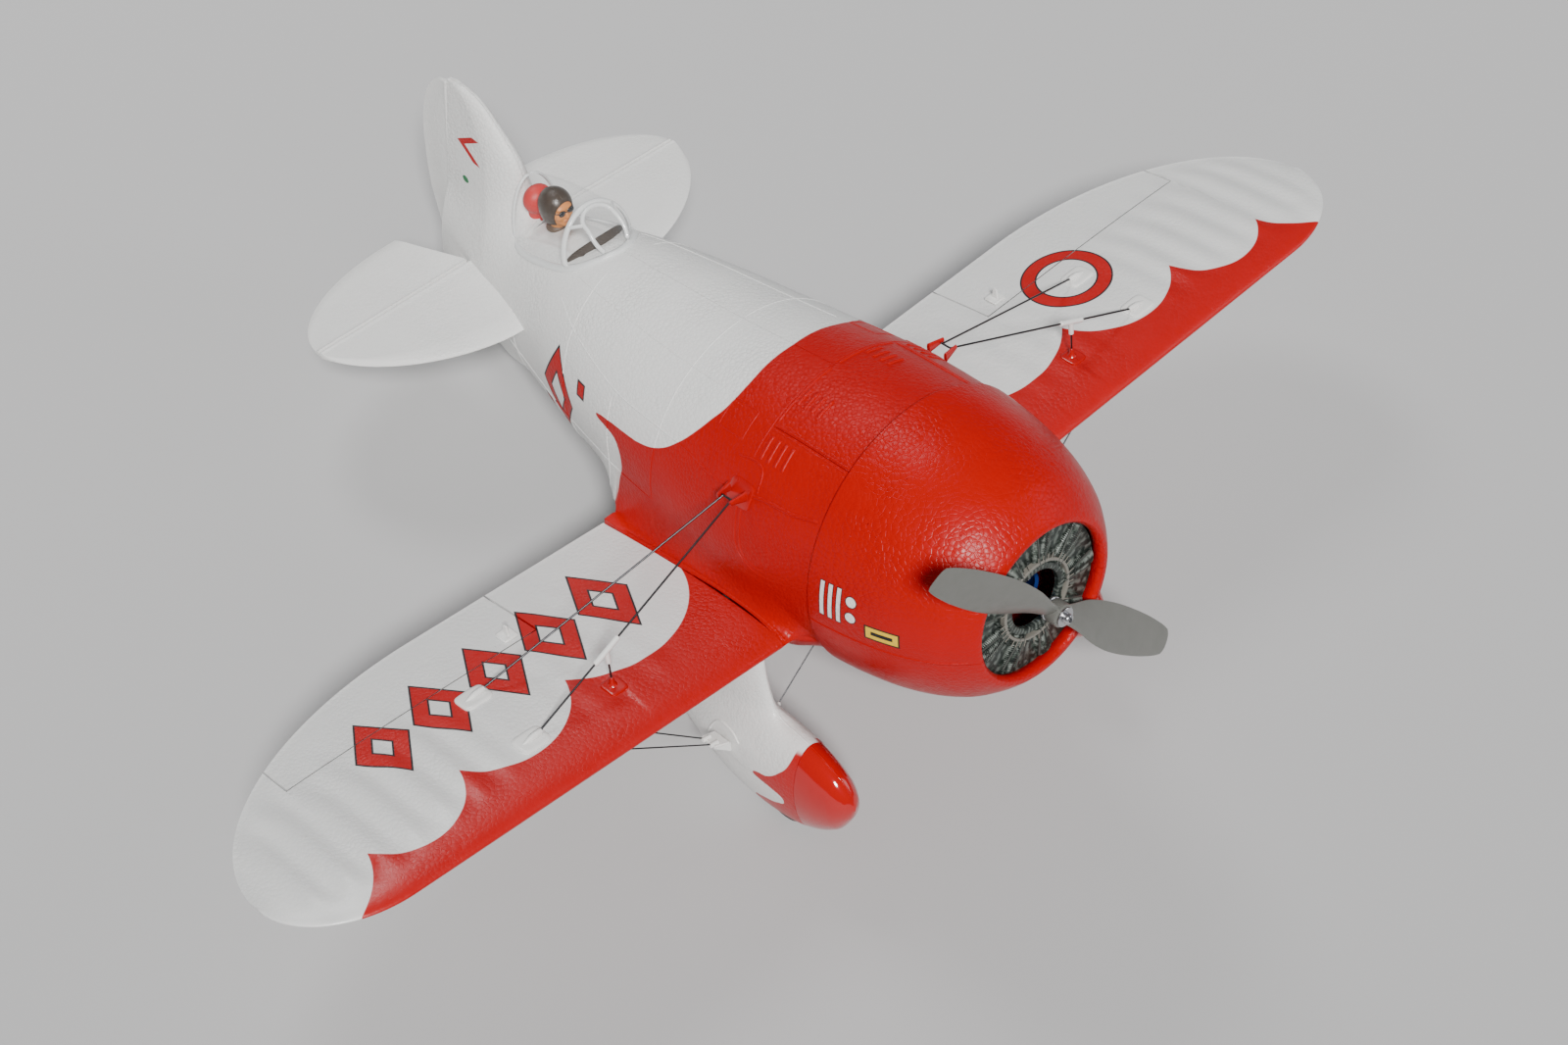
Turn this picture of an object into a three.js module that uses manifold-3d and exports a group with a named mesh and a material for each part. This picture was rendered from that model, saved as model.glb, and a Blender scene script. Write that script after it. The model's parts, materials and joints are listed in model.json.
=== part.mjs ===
// A radio-controlled park flyer in moulded foam: a stubby, barrel-bodied low-wing racing monoplane.
// Millimetres. The airframe is drawn in its own level frame: +X is its left wing, -Y its nose, +Z up,
// with Y = 0 at the flying-wire spreaders. The last lines tip it onto its wheels and set the origin.

import * as THREE from "three";
import { mergeVertices } from "three/addons/utils/BufferGeometryUtils.js";
import Module from "manifold-3d";

const wasm = await Module();
wasm.setup();

// ---------------------------------------------------------------- driving dimensions
const GAP = 0.3;
const FOAM_WALL = 8;
const AXIS_Z = 29.5;

// Fuselage stations: [y, half width, top, bottom]. Every section is an ellipse.
const STATIONS = [
  [-66, 107.5, 138, -75],
  [0, 112, 137, -84],
  [60, 108.5, 132.5, -80],
  [120, 101, 128.5, -68],
  [180, 90, 127, -57],
  [240, 76, 124.5, -51],
  [300, 59, 115, -43],
  [360, 42, 99, -29],
  [420, 24, 82, -12],
  [458, 11, 71, 0],
];

const COWL_BACK_Y = -66;
const COWL_SPLIT_Z = 20;
const OPENING_RADIUS = 58.6;
const HATCH = { halfWidth: 60, back: 8 };

const WING = { root: 118, halfSpan: 521, leading: -46, trailing: 147, waist: 16 };
const WING_FRONT_TIP = { from: 440, reach: 81 };
const WING_REAR_TIP = { from: 300, reach: 221 };
const WING_CHORD_Z = -21;
const DIHEDRAL = 0.06;
const WING_THICKNESS = 20;
const AILERON = { inner: 231, outer: 445, hinge: 86.3 };

const TAIL_Z = 55;
const TAIL = { centreX: 60, reach: 121, hinge: 392, front: 97, rear: 71, thickness: 8 };
const RUDDER_POST = { y: 452, z: 20, lean: -29 / 176 };
const RUDDER_TOP_Z = 196;

const SPAN_HALF_GEAR = 130;
const MAIN_WHEEL = { radius: 25, width: 12, y: -45, z: -155 };
const TAIL_WHEEL = { radius: 12, width: 7, y: 466, z: -23 };

const PROP_RADIUS = 157;
const PROP_Y = -197;
const PROP_REST_ANGLE = 45;

const SERVO_ARM_LENGTH = 11;
const WIRE = { radius: 0.9, bracketX: 103, bracketY: 8, bracketZ: 87, lugX: 306 };
const SPREADER_X = 232.5;

// ---------------------------------------------------------------- materials
const finish = (color, roughness, metalness = 0) => ({ color, roughness, metalness });
const RED = finish(0xd0140c, 0.35);
const WHITE = finish(0xe9e8e4, 0.5);
const WHITE_PLASTIC = finish(0xf2f2ee, 0.4);
const DARK_WIRE = finish(0x25262a, 0.4, 0.6);
const STEEL = finish(0xb9bcc0, 0.3, 0.9);
const BLACK = finish(0x16171a, 0.55);
const CLEAR = finish(0xdfe6ea, 0.1);
const BLUE_ANODISED = finish(0x1f3f9a, 0.3, 0.8);
const GREY_NYLON = finish(0xb4b7b8, 0.45);
const PLYWOOD = finish(0xc79a62, 0.7);
const RUBBER = finish(0x1b1b1c, 0.85);

// ---------------------------------------------------------------- solids
// A closed geometry as a solid that can be joined and cut.
function solid(geometry) {
  const bare = geometry.index ? geometry.toNonIndexed() : geometry.clone();
  bare.deleteAttribute("normal");
  bare.deleteAttribute("uv");
  const merged = mergeVertices(bare, 1e-4);
  const index = merged.index.array;
  const triangles = [];
  for (let i = 0; i < index.length; i += 3) {
    const [a, b, c] = index.slice(i, i + 3);
    if (a !== b && b !== c && c !== a) triangles.push([a, b, c]);
  }
  const build = (list) =>
    new wasm.Manifold(
      new wasm.Mesh({
        numProp: 3,
        vertProperties: merged.attributes.position.array,
        triVerts: new Uint32Array(list.flat()),
      }),
    );
  const made = build(triangles);
  return made.volume() > 0 ? made : build(triangles.map(([a, b, c]) => [a, c, b]));
}

function geometryOf(body) {
  const { vertProperties, triVerts } = body.getMesh();
  const geometry = new THREE.BufferGeometry();
  geometry.setAttribute("position", new THREE.BufferAttribute(new Float32Array(vertProperties), 3));
  geometry.setIndex(new THREE.BufferAttribute(new Uint32Array(triVerts), 1));
  geometry.computeVertexNormals();
  return geometry;
}

const join = (...bodies) => bodies.reduce((a, b) => a.add(b));
const cut = (body, ...tools) => tools.reduce((a, b) => a.subtract(b), body);

// The same body on the other side of the plane of symmetry.
function mirrored(body) {
  const geometry = geometryOf(body);
  geometry.scale(-1, 1, 1);
  return solid(geometry);
}

function block([x0, y0, z0], [x1, y1, z1]) {
  const geometry = new THREE.BoxGeometry(x1 - x0, y1 - y0, z1 - z0);
  return solid(geometry.translate((x0 + x1) / 2, (y0 + y1) / 2, (z0 + z1) / 2));
}

const point = ([x, y, z]) => new THREE.Vector3(x, y, z);

// A round rod from one point to another.
function rod(from, to, radius, sides = 8) {
  const a = point(from);
  const b = point(to);
  const geometry = new THREE.CylinderGeometry(radius, radius, a.distanceTo(b), sides);
  const turn = new THREE.Quaternion().setFromUnitVectors(
    new THREE.Vector3(0, 1, 0),
    b.clone().sub(a).normalize(),
  );
  geometry.applyQuaternion(turn);
  const middle = a.add(b).multiplyScalar(0.5);
  return solid(geometry.translate(middle.x, middle.y, middle.z));
}

// A turned body about an axis along Y at height z. The profile is [radius, y] pairs.
function turned(profile, z = AXIS_Z, segments = 24, x = 0) {
  const geometry = new THREE.LatheGeometry(
    profile.map(([r, y]) => new THREE.Vector2(r, y)),
    segments,
  );
  return solid(geometry.translate(x, 0, z));
}

// A turned body about an axis along X, such as a wheel. The profile is [radius, x] pairs.
function turnedAcross(profile, x, y, z, segments, twist = 0) {
  const geometry = new THREE.LatheGeometry(
    profile.map(([r, along]) => new THREE.Vector2(r, along)),
    segments,
  );
  geometry.rotateY(twist);
  geometry.rotateZ(-Math.PI / 2);
  return solid(geometry.translate(x, y, z));
}

// A body through a row of rings that all have the same number of points.
function loft(rings) {
  const count = rings[0].length;
  const corners = rings.flat().map(point);
  const middle = (ring) =>
    ring.map(point).reduce((a, b) => a.add(b), new THREE.Vector3()).divideScalar(count);
  const faces = [];
  for (let i = 0; i + 1 < rings.length; i++)
    for (let k = 0; k < count; k++) {
      const a = i * count + k;
      const b = i * count + ((k + 1) % count);
      faces.push([a, b, b + count], [a, b + count, a + count]);
    }
  const heading = middle(rings[1]).sub(middle(rings[0]));
  // Twice a flat ring's area, as a vector along its normal.
  const areaOf = (ring) => {
    const normal = new THREE.Vector3();
    ring.forEach((at, k) => normal.add(point(at).cross(point(ring[(k + 1) % count]))));
    return normal;
  };
  if (areaOf(rings[0]).dot(heading) < 0) faces.forEach((face) => face.reverse());
  const cap = (i, outward) => {
    const axis = ["x", "y", "z"].sort((p, q) => Math.abs(outward[q]) - Math.abs(outward[p]))[0];
    const [u, v] = ["x", "y", "z"].filter((name) => name !== axis);
    const flat = rings[i].map(point).map((p) => new THREE.Vector2(p[u], p[v]));
    const spread = THREE.ShapeUtils.triangulateShape(flat, []);
    // Points in a straight row are lost there, so such a ring is filled round its middle instead.
    const filled = spread.length === count - 2;
    const fan = flat.map((_, k) => [k, (k + 1) % count, count]);
    if (!filled) corners.push(middle(rings[i]));
    const at = (k) => (k === count ? corners.length - 1 : i * count + k);
    for (const face of (filled ? spread : fan).map((corner) => corner.map(at))) {
      const [a, b, c] = face.map((k) => corners[k]);
      const facing = b.clone().sub(a).cross(c.clone().sub(a));
      faces.push(facing.dot(outward) > 0 ? face : face.reverse());
    }
  };
  const last = rings.length - 1;
  const ends = [0, last].map((i) => areaOf(rings[i]));
  const turn = ends.map((normal) => Math.sign(normal.dot(heading)));
  cap(0, ends[0].multiplyScalar(-turn[0]));
  cap(last, ends[1].multiplyScalar(turn[1]));
  const geometry = new THREE.BufferGeometry().setFromPoints(corners);
  geometry.setIndex(faces.flat());
  return solid(geometry);
}

// A smooth curve through [at, value] knots.
function through(knots) {
  const slope = (i) => {
    const a = knots[Math.max(i - 1, 0)];
    const b = knots[Math.min(i + 1, knots.length - 1)];
    return (b[1] - a[1]) / (b[0] - a[0]);
  };
  return (at) => {
    const clamped = Math.min(Math.max(at, knots[0][0]), knots[knots.length - 1][0]);
    let i = 0;
    while (i + 2 < knots.length && clamped > knots[i + 1][0]) i++;
    const [x0, y0] = knots[i];
    const [x1, y1] = knots[i + 1];
    const t = (clamped - x0) / (x1 - x0);
    const [m0, m1] = [slope(i) * (x1 - x0), slope(i + 1) * (x1 - x0)];
    const s = t * t * (3 - 2 * t);
    return y0 + (y1 - y0) * s + m0 * t * (1 - t) ** 2 - m1 * t * t * (1 - t);
  };
}

const steps = (from, to, count) =>
  Array.from({ length: count + 1 }, (_, i) => from + ((to - from) * i) / count);

// An outline in the Y-Z plane as a plate between two X values.
function sidePlate(outline, x0, x1) {
  return loft([x0, x1].map((x) => outline.map(([y, z]) => [x, y, z])));
}

// ---------------------------------------------------------------- fuselage
const halfWidth = through(STATIONS.map(([y, w]) => [y, w]));
const top = through(STATIONS.map(([y, , t]) => [y, t]));
const bottom = through(STATIONS.map(([y, , , b]) => [y, b]));

function section(y, grow) {
  const w = halfWidth(y) + grow;
  const middle = (top(y) + bottom(y)) / 2;
  const h = (top(y) - bottom(y)) / 2 + grow;
  return steps(0, 2 * Math.PI, 22)
    .slice(0, -1)
    .map((a) => [w * Math.sin(a + 0.143), y, middle + h * Math.cos(a + 0.143)]);
}

function barrel(from, to, grow) {
  const inside = STATIONS.map(([y]) => y).filter((y) => y > from + 5 && y < to - 5);
  return loft([from, ...inside, to].map((y) => section(y, grow)));
}

// Height of the fuselage skin over a point on its upper side.
function skinHeight(x, y) {
  const middle = (top(y) + bottom(y)) / 2;
  const h = (top(y) - bottom(y)) / 2;
  return middle + h * Math.sqrt(Math.max(0, 1 - (x / halfWidth(y)) ** 2));
}

const postY = (z) => RUDDER_POST.y + RUDDER_POST.lean * (z - RUDDER_POST.z);

// The half of space behind the rudder post, moved forward by a clearance.
function behindPost(clearance) {
  const line = [-60, 260].map((z) => [postY(z) - clearance, z]);
  return sidePlate([...line, [560, 260], [560, -60]], -90, 90);
}

// The fin's level sections: [z, leading edge y, half thickness].
const FIN_LEVELS = [
  [62, 330, 22],
  [112, 343, 18],
  [150, 349, 12],
  [175, 368, 8],
  [192, 386, 5],
  [198.5, 404, 3],
];
const finLeading = through(FIN_LEVELS.map(([z, y]) => [z, y]));
const finThickness = through(FIN_LEVELS.map(([z, , t]) => [z, t]));

function finLevel(z) {
  const front = finLeading(z);
  const back = postY(z) + 8;
  const side = [0, 0.05, 0.15, 0.35, 0.65, 1].map((s) => {
    const round = Math.min(1, Math.sqrt(s / 0.15) * (1.2 - s));
    const taper = 1 - 0.62 * s;
    return [Math.max(0.4, finThickness(z) * round * taper), front + (back - front) * s];
  });
  const left = side.map(([x, y]) => [x, y, z]);
  const right = side.map(([x, y]) => [-x, y, z]).reverse();
  return [...left, ...right];
}

// Wing stub moulded with the fuselage: [x, thickness, leading edge, trailing edge].
const FILLET = [
  [84, 74, -58, 176],
  [96, 48, -53, 162],
  [107, 30, -49, 152],
  [WING.root - GAP, 20.6, -46.5, 147],
];

// Half thickness of the wing section at a share of its chord, for a full thickness of 1.
const wingCurve = (s) =>
  5 * (0.2969 * Math.sqrt(s) - 0.126 * s - 0.3516 * s ** 2 + 0.2843 * s ** 3 - 0.1036 * s ** 4);

function wingRing(x, front, back, thickness, middle) {
  const shares = [0, 0.02, 0.08, 0.18, 0.32, 0.5, 0.7, 0.88, 1];
  const half = shares.map((s) => [
    front + (back - front) * s,
    Math.max(0.25, thickness * wingCurve(s)),
  ]);
  const upper = half.map(([y, t]) => [x, y, middle + t]);
  const lower = half.map(([y, t]) => [x, y, middle - t]).reverse();
  return [...upper, ...lower];
}

const chordZ = (x) => WING_CHORD_Z + DIHEDRAL * x;
const SPAR = { radius: 3, reach: 190, y: 20, z: -13 };
const sparHole = rod([-260, SPAR.y, SPAR.z], [260, SPAR.y, SPAR.z], SPAR.radius + GAP);
const COCKPIT = { halfWidth: 20, front: 258, back: 330, floor: 93, sill: 101 };
const JOINER_Z = TAIL_Z;
const JOINER_REACH = 36;
const joinerHole = rod(
  [-JOINER_REACH - 1, TAIL.hinge, JOINER_Z],
  [JOINER_REACH + 1, TAIL.hinge, JOINER_Z],
  2.2,
  10,
);
const RUDDER_ROD_BEND = [-20.5, 380, 17.8];
const RUDDER_ROD_END = [-19, 461, 7];
const rudderRodHole = rod(RUDDER_ROD_BEND, RUDDER_ROD_END, 2.6);

function fuselageHalf() {
  const outer = barrel(COWL_BACK_Y + GAP, 458, 0);
  const inner = barrel(COWL_BACK_Y - 5, 430, -FOAM_WALL);
  const stub = loft(FILLET.map(([x, t, a, b]) => wingRing(x, a, b, t, chordZ(118))));
  const fin = loft(FIN_LEVELS.map(([z]) => finLevel(z)));
  const hatchway = block(
    [-HATCH.halfWidth, COWL_BACK_Y - 9, 80],
    [HATCH.halfWidth, HATCH.back, 200],
  );
  const cockpit = block(
    [-COCKPIT.halfWidth, COCKPIT.front, COCKPIT.floor - 1],
    [COCKPIT.halfWidth, COCKPIT.back, 200],
  );
  const leftSide = block([GAP / 2, -100, -120], [260, 520, 260]);
  const whole = join(outer, fin, stub).intersect(leftSide);
  return cut(whole, inner, hatchway, cockpit, behindPost(0.6), sparHole, joinerHole);
}

function hatch() {
  const shell = cut(barrel(COWL_BACK_Y + GAP, 40, 0), barrel(COWL_BACK_Y - 5, 50, -FOAM_WALL));
  return shell.intersect(
    block([-HATCH.halfWidth + GAP, -90, 80], [HATCH.halfWidth - GAP, HATCH.back - GAP, 200]),
  );
}

// ---------------------------------------------------------------- nose
// The cowl's wall, from its back edge over the lip and back inside: [radius, y].
const COWL_PROFILE = [
  [109, COWL_BACK_Y],
  [107.5, -90],
  [103, -115],
  [95.5, -140],
  [86, -160],
  [77, -172],
  [69.5, -180],
  [63.5, -184.5],
  [60, -183.5],
  [OPENING_RADIUS, -179],
  [63, -171],
  [76, -161],
  [92, -130],
  [100, -98],
  [102, COWL_BACK_Y],
];

function cowl() {
  const outline = COWL_PROFILE.slice().reverse();
  return turned([...outline, outline[0]], AXIS_Z + 1.5, 32);
}

function cowlPart(from, to) {
  return cowl().intersect(block([-150, -250, from], [150, 0, to]));
}

function engineDisc() {
  const edge = [[23, -174.2], [59.5, -174.2], [59.5, -173], [23, -173]];
  return turned([...edge, edge[0]], AXIS_Z + 0.5, 24);
}

function motorMount() {
  const outside = [[93, -60], [93, -64.5], [34, -64.5], [30, -121], [4, -121]];
  const inside = [[4, -118], [26, -118], [30, -60]];
  return turned([...outside, ...inside, outside[0]], AXIS_Z, 16);
}

const stator = () => {
  const edge = [[4, -121.3], [17, -121.3], [17, -127], [15, -127], [15, -160], [4, -160]];
  return turned([...edge, edge[0]], AXIS_Z, 16);
};

const motorBell = () =>
  turned(
    [[0, PROP_Y + 16], [2.5, PROP_Y + 16], [2.5, -165.5], [14, -165.5], [18, -162], [18, -129],
      [15.8, -129], [15.8, -161], [2.5, -161], [2.5, -130], [0, -130]],
    AXIS_Z,
    20,
  );

const fromProp = ([r, y]) => [r, PROP_Y + y];

const propAdapter = () =>
  turned(
    [[0, -3], [3, -3], [3, 5.3], [9, 5.3], [9, 8], [5.5, 10], [5.5, 15.7], [0, 15.7]].map(fromProp),
    AXIS_Z,
    16,
  );

const propScrew = () =>
  turned(
    [[0, -11.6], [2.2, -11.4], [3.9, -10], [3.9, -7.3], [7.5, -7.3], [7.5, -5.9],
      [2.4, -5.9], [2.4, -3.4], [0, -3.4]].map(fromProp),
    AXIS_Z,
    16,
  );

// One blade's sections from root to tip: [share of the radius, chord, pitch angle in degrees].
const BLADE = [
  [0.03, 12, 38],
  [0.14, 19, 42],
  [0.3, 31, 34],
  [0.5, 35, 24],
  [0.75, 31, 17],
  [0.94, 23, 13],
  [1, 19, 12],
];

function bladeRing([share, chord, pitch]) {
  const angle = THREE.MathUtils.degToRad(pitch);
  const thickness = THREE.MathUtils.lerp(5, 1.2, share);
  return [0, 1, 2, 3, 4, 5, 6, 7].map((k) => {
    const turn = (k / 8) * 2 * Math.PI;
    const along = (chord / 2) * Math.cos(turn);
    const across = (thickness / 2) * Math.sin(turn);
    return [
      along * Math.cos(angle) - across * Math.sin(angle),
      PROP_Y + along * Math.sin(angle) * -1 - across * Math.cos(angle),
      share * PROP_RADIUS,
    ];
  });
}

function propeller() {
  const blade = geometryOf(loft(BLADE.map(bladeRing)));
  const other = blade.clone().rotateY(Math.PI);
  const hub = turned([[0, -5.6], [8, -5.6], [9, -4.6], [9, 4.7], [8, 5], [0, 5]].map(fromProp), 0, 20);
  const bore = turned([[0, -210], [3.3, -210], [3.3, -180], [0, -180]], 0, 16);
  const whole = geometryOf(cut(join(hub, solid(blade), solid(other)), bore));
  whole.rotateY(THREE.MathUtils.degToRad(-PROP_REST_ANGLE)).translate(0, 0, AXIS_Z);
  return solid(whole);
}

// ---------------------------------------------------------------- wing
const arc = (x, tip) => Math.sqrt(Math.max(0, 1 - (Math.max(0, x - tip.from) / tip.reach) ** 2));
const wingFront = (x) => WING.waist - (WING.waist - WING.leading) * arc(x, WING_FRONT_TIP);
const wingBack = (x) => WING.waist + (WING.trailing - WING.waist) * arc(x, WING_REAR_TIP);
const wingThickness = (x) => WING_THICKNESS * Math.max(0.16, arc(x, { from: 300, reach: 226 }) ** 1.3);

function wingSolid(grow) {
  const stations = [WING.root, 230, 300, 360, 410, 450, 480, 500, 512, 518.5, WING.halfSpan - 0.4];
  return loft(
    stations.map((x) =>
      wingRing(x, wingFront(x) - grow, wingBack(x) + grow, wingThickness(x) + 2 * grow, chordZ(x)),
    ),
  );
}

// The skin height over the aileron hinge, at a place along the span.
function hingeZ(x) {
  const share = (AILERON.hinge - wingFront(x)) / (wingBack(x) - wingFront(x));
  return chordZ(x) + wingThickness(x) * wingCurve(share);
}

// Space behind the aileron hinge: the front face leans back below the hinge by `lean` per mm of depth.
function behindHinge(inner, outer, start, lean) {
  return loft(
    [inner, outer].map((x) => {
      const z = hingeZ(AILERON.inner) +
        ((x - AILERON.inner) * (hingeZ(AILERON.outer) - hingeZ(AILERON.inner))) /
          (AILERON.outer - AILERON.inner);
      return [
        [x, start, z + 8],
        [x, 220, z + 8],
        [x, 220, z - 30],
        [x, start + lean * 30, z - 30],
        [x, start, z],
      ];
    }),
  );
}

const SERVO_POCKET = [[240, 12, -30], [268, 37, -7.5]];
const HORN_X = 249;
const hornSlot = block([HORN_X - 1.4, 93, -40], [HORN_X + 1.4, 101, 20]);
const wingSeat = wingSolid(GAP);

function wing() {
  const space = behindHinge(AILERON.inner - 1.6, AILERON.outer + 1.6, AILERON.hinge - GAP, 0);
  return cut(wingSolid(0), space, sparHole, block(...SERVO_POCKET));
}

function aileron() {
  const space = behindHinge(AILERON.inner, AILERON.outer, AILERON.hinge + 2.5 * GAP, 0.7);
  return cut(wingSolid(0).intersect(space), hornSlot);
}

function aileronHorn() {
  const z = hingeZ(HORN_X);
  const plate = block([HORN_X - 6, 91, z + 0.3], [HORN_X + 6, 103, z + 1.7]);
  const fin = sidePlate([[93.5, z], [100.5, z], [97.5, z + 10], [95, z + 10]], HORN_X - 0.8, HORN_X + 0.8);
  const arm = sidePlate([[93.5, z], [100.5, z], [98, -20.5], [95, -20.5]], HORN_X - 0.8, HORN_X + 0.8);
  return join(plate, fin, arm);
}

function aileronServo() {
  const body = block([245, 13, -22], [267, 36, -9]);
  const boss = rod([246, 20, -17], [242.6, 20, -17], 3, 12);
  return join(body, boss);
}

// The arm hangs from the servo's shaft, on the side away from its case.
function aileronServoArm() {
  const hub = rod([240.9, 20, -17], [242.3, 20, -17], 2.6, 12);
  return join(hub, block([240.9, 18.5, -17 - SERVO_ARM_LENGTH - 1.5], [242.3, 21.5, -17]));
}

const aileronPushrod = () => rod([239.8, 18, -17 - SERVO_ARM_LENGTH], [HORN_X - 2.1, 98, -18], 0.8, 6);

// ---------------------------------------------------------------- tail
function tailEdge(x, depth, power) {
  const u = Math.min(1, Math.max(0, x - TAIL.centreX) / TAIL.reach);
  return depth * (1 - u ** power) ** (1 / power);
}

function tailRing(x) {
  const front = TAIL.hinge - tailEdge(x, TAIL.front, 1.7);
  const back = TAIL.hinge + tailEdge(x, TAIL.rear, 2);
  const half = (TAIL.thickness / 2) * (1 - 0.45 * Math.max(0, (x - 20) / 161));
  const side = [[0, 0.2], [0.03, 0.6], [0.12, 0.95], [0.4, 1], [0.75, 0.75], [1, 0.22]];
  const upper = side.map(([s, t]) => [x, front + (back - front) * s, TAIL_Z + half * t]);
  const lower = side.map(([s, t]) => [x, front + (back - front) * s, TAIL_Z - half * t]);
  return [...upper, ...lower.reverse()];
}

const tailSurface = () => loft([4, 60, 100, 130, 152, 168, 176.5, 180.4].map(tailRing));

function hingeNotch(y, lean) {
  const [slant, back] = [y + lean * 20, y + 120];
  const [high, low] = [TAIL_Z + 20, TAIL_Z - 20];
  return sidePlate([[y, TAIL_Z], [slant, high], [back, high], [back, low], [slant, low]], -10, 200);
}

const stabiliser = () =>
  cut(tailSurface(), hingeNotch(TAIL.hinge - 0.4, 0), barrel(COWL_BACK_Y, 458, GAP), joinerHole);

function elevator() {
  const inner = loft([TAIL_Z - 20, TAIL_Z + 20].map((z) => [[-5, 380, z], [33.5, 380, z], [33.5, 396, z],
    [55, 470, z], [-5, 470, z]]));
  return cut(tailSurface().intersect(hingeNotch(TAIL.hinge + 0.4, 0.6)), inner, joinerHole);
}

function elevatorJoiner() {
  const bar = rod([-JOINER_REACH, TAIL.hinge, JOINER_Z], [JOINER_REACH, TAIL.hinge, JOINER_Z], 1.6, 8);
  const foot = JOINER_Z - 20;
  const lever = sidePlate([[389, JOINER_Z], [395, JOINER_Z], [394, foot], [390, foot]], -1, 1);
  return join(bar, lever);
}

// The rudder's trailing edge, from its foot to its top: [y, z].
const RUDDER_EDGE = [
  [458, 18],
  [468.5, 27],
  [473, 50],
  [476, 80],
  [473, 117],
  [466, 150],
  [455, 175],
  [438, 192],
];

function rudder() {
  const outline = [
    [postY(RUDDER_EDGE[0][1]) + 0.6, RUDDER_EDGE[0][1]],
    ...RUDDER_EDGE,
    [postY(RUDDER_TOP_Z) + 0.6, RUDDER_TOP_Z],
  ];
  const plate = sidePlate(outline, -5, 5);
  const side = (z) => {
    const front = postY(z) + 0.6;
    const thick = z > 150 ? 2.4 : 4;
    const left = [[0.3, front, z], [thick, front + 6, z], [1, 480, z]];
    return [...left, ...left.map(([x, y]) => [-x, y, z]).reverse()];
  };
  return loft([10, 150.5, 210].map(side)).intersect(plate);
}

function tailWheelLeg() {
  const foot = [0, postY(10) + 3.5, 17.4];
  const knee = [0, postY(-2) + 3.5, -4];
  const post = rod(foot, knee, 1.4);
  const shoulder = [7, TAIL_WHEEL.y - 2, -8.2];
  const slope = rod(knee, shoulder, 1.4);
  const drop = rod(shoulder, [7, TAIL_WHEEL.y, TAIL_WHEEL.z], 1.4);
  const axle = rod([7.5, TAIL_WHEEL.y, TAIL_WHEEL.z], [-5, TAIL_WHEEL.y, TAIL_WHEEL.z], 1.2);
  const back = postY(10);
  const tiller = block([-22, back + 6.2, 9.6], [2, back + 9, 11.4]);
  const neck = block([-2, back + 2, 9.6], [2, back + 9, 11.4]);
  return join(post, slope, drop, axle, tiller, neck);
}

function wheel({ radius, width, y, z }, x, bore, segments, twist) {
  const half = width / 2;
  const profile = [
    [bore, -half * 0.9],
    [radius * 0.5, -half * 0.9],
    [radius * 0.62, -half * 0.7],
    [radius * 0.75, -half],
    [radius * 0.92, -half],
    [radius, -half * 0.5],
    [radius, half * 0.5],
    [radius * 0.92, half],
    [radius * 0.75, half],
    [radius * 0.62, half * 0.7],
    [radius * 0.5, half * 0.9],
    [bore, half * 0.9],
  ];
  return turnedAcross([...profile, profile[0]], x, y, z, segments, twist);
}

// ---------------------------------------------------------------- cockpit
// Canopy arches: [y, half width, top].
const ARCHES = [
  [238, 7, 128],
  [245, 18, 138],
  [254, 27, 146],
  [268, 32.5, 151],
  [300, 32, 152.5],
  [325, 28, 150.5],
  [340, 22, 147],
];
const archWidth = through(ARCHES.map(([y, w]) => [y, w]));
const archTop = through(ARCHES.map(([y, , t]) => [y, t]));

// A strip of the canopy surface between two angles from the crown, `low` to `low + thick` proud of it.
function canopyStrip(ys, from, to, low, thick, count) {
  const ring = (y) => {
    const edge = (grow) =>
      steps(from, to, count).map((degrees) => {
        const a = THREE.MathUtils.degToRad(degrees);
        const foot = skinHeight(archWidth(y), y) + 1.6;
        const x = (archWidth(y) + grow) * Math.sin(a);
        return [x, y, foot + (archTop(y) - foot + grow) * Math.cos(a)];
      });
    return [...edge(low + thick), ...edge(low).reverse()];
  };
  return loft(ys.map(ring));
}

const canopy = () => canopyStrip(ARCHES.map(([y]) => y), -90, 90, -1, 1, 12);

function windshieldFrame() {
  const arch = canopyStrip([266, 271], -89, 89, 0.6, 1.4, 12);
  const posts = [-1, 1].map((side) => canopyStrip([245, 254, 268], side * 26, side * 38, 0.6, 1.4, 2));
  return join(arch, ...posts);
}

function cockpitTub() {
  const { halfWidth: w, front, back, floor, sill } = COCKPIT;
  const outer = block([-w + GAP, front + GAP, floor], [w - GAP, back - GAP, sill]);
  const room = block([-w + 1.5, front + 1.5, floor + 1.5], [w - 1.5, back - 1.5, sill + 1]);
  const panel = block([-w + GAP, front + GAP, floor], [w - GAP, front + 2.5, sill + 25]);
  return join(cut(outer, room), panel);
}

const PILOT_Y = 307;

function pilot() {
  const profile = [[0, 95], [17, 95], [17, 101], [13, 106], [6, 109], [6, 112], [11, 115], [13.5, 121],
    [14.2, 129], [12.8, 138], [8.5, 144], [0, 146.5]];
  const geometry = new THREE.LatheGeometry(profile.map(([r, z]) => new THREE.Vector2(r, z)), 16);
  return solid(geometry.rotateX(Math.PI / 2).scale(0.95, 1, 1).translate(0, PILOT_Y, 0));
}

// ---------------------------------------------------------------- landing gear
// Wheel spat sections: [y, half width, top, bottom].
const SPAT = [
  [-119, 1.5, -116, -121],
  [-115, 8, -107, -132],
  [-103, 15, -95, -150],
  [-77, 20.5, -83, -166],
  [-45, 22, -78, -172],
  [-10, 20.5, -83, -169],
  [25, 15, -96, -158],
  [55, 7.5, -112, -143],
  [70, 2, -122, -132],
];
const SPAT_SEAM = -77;

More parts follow.
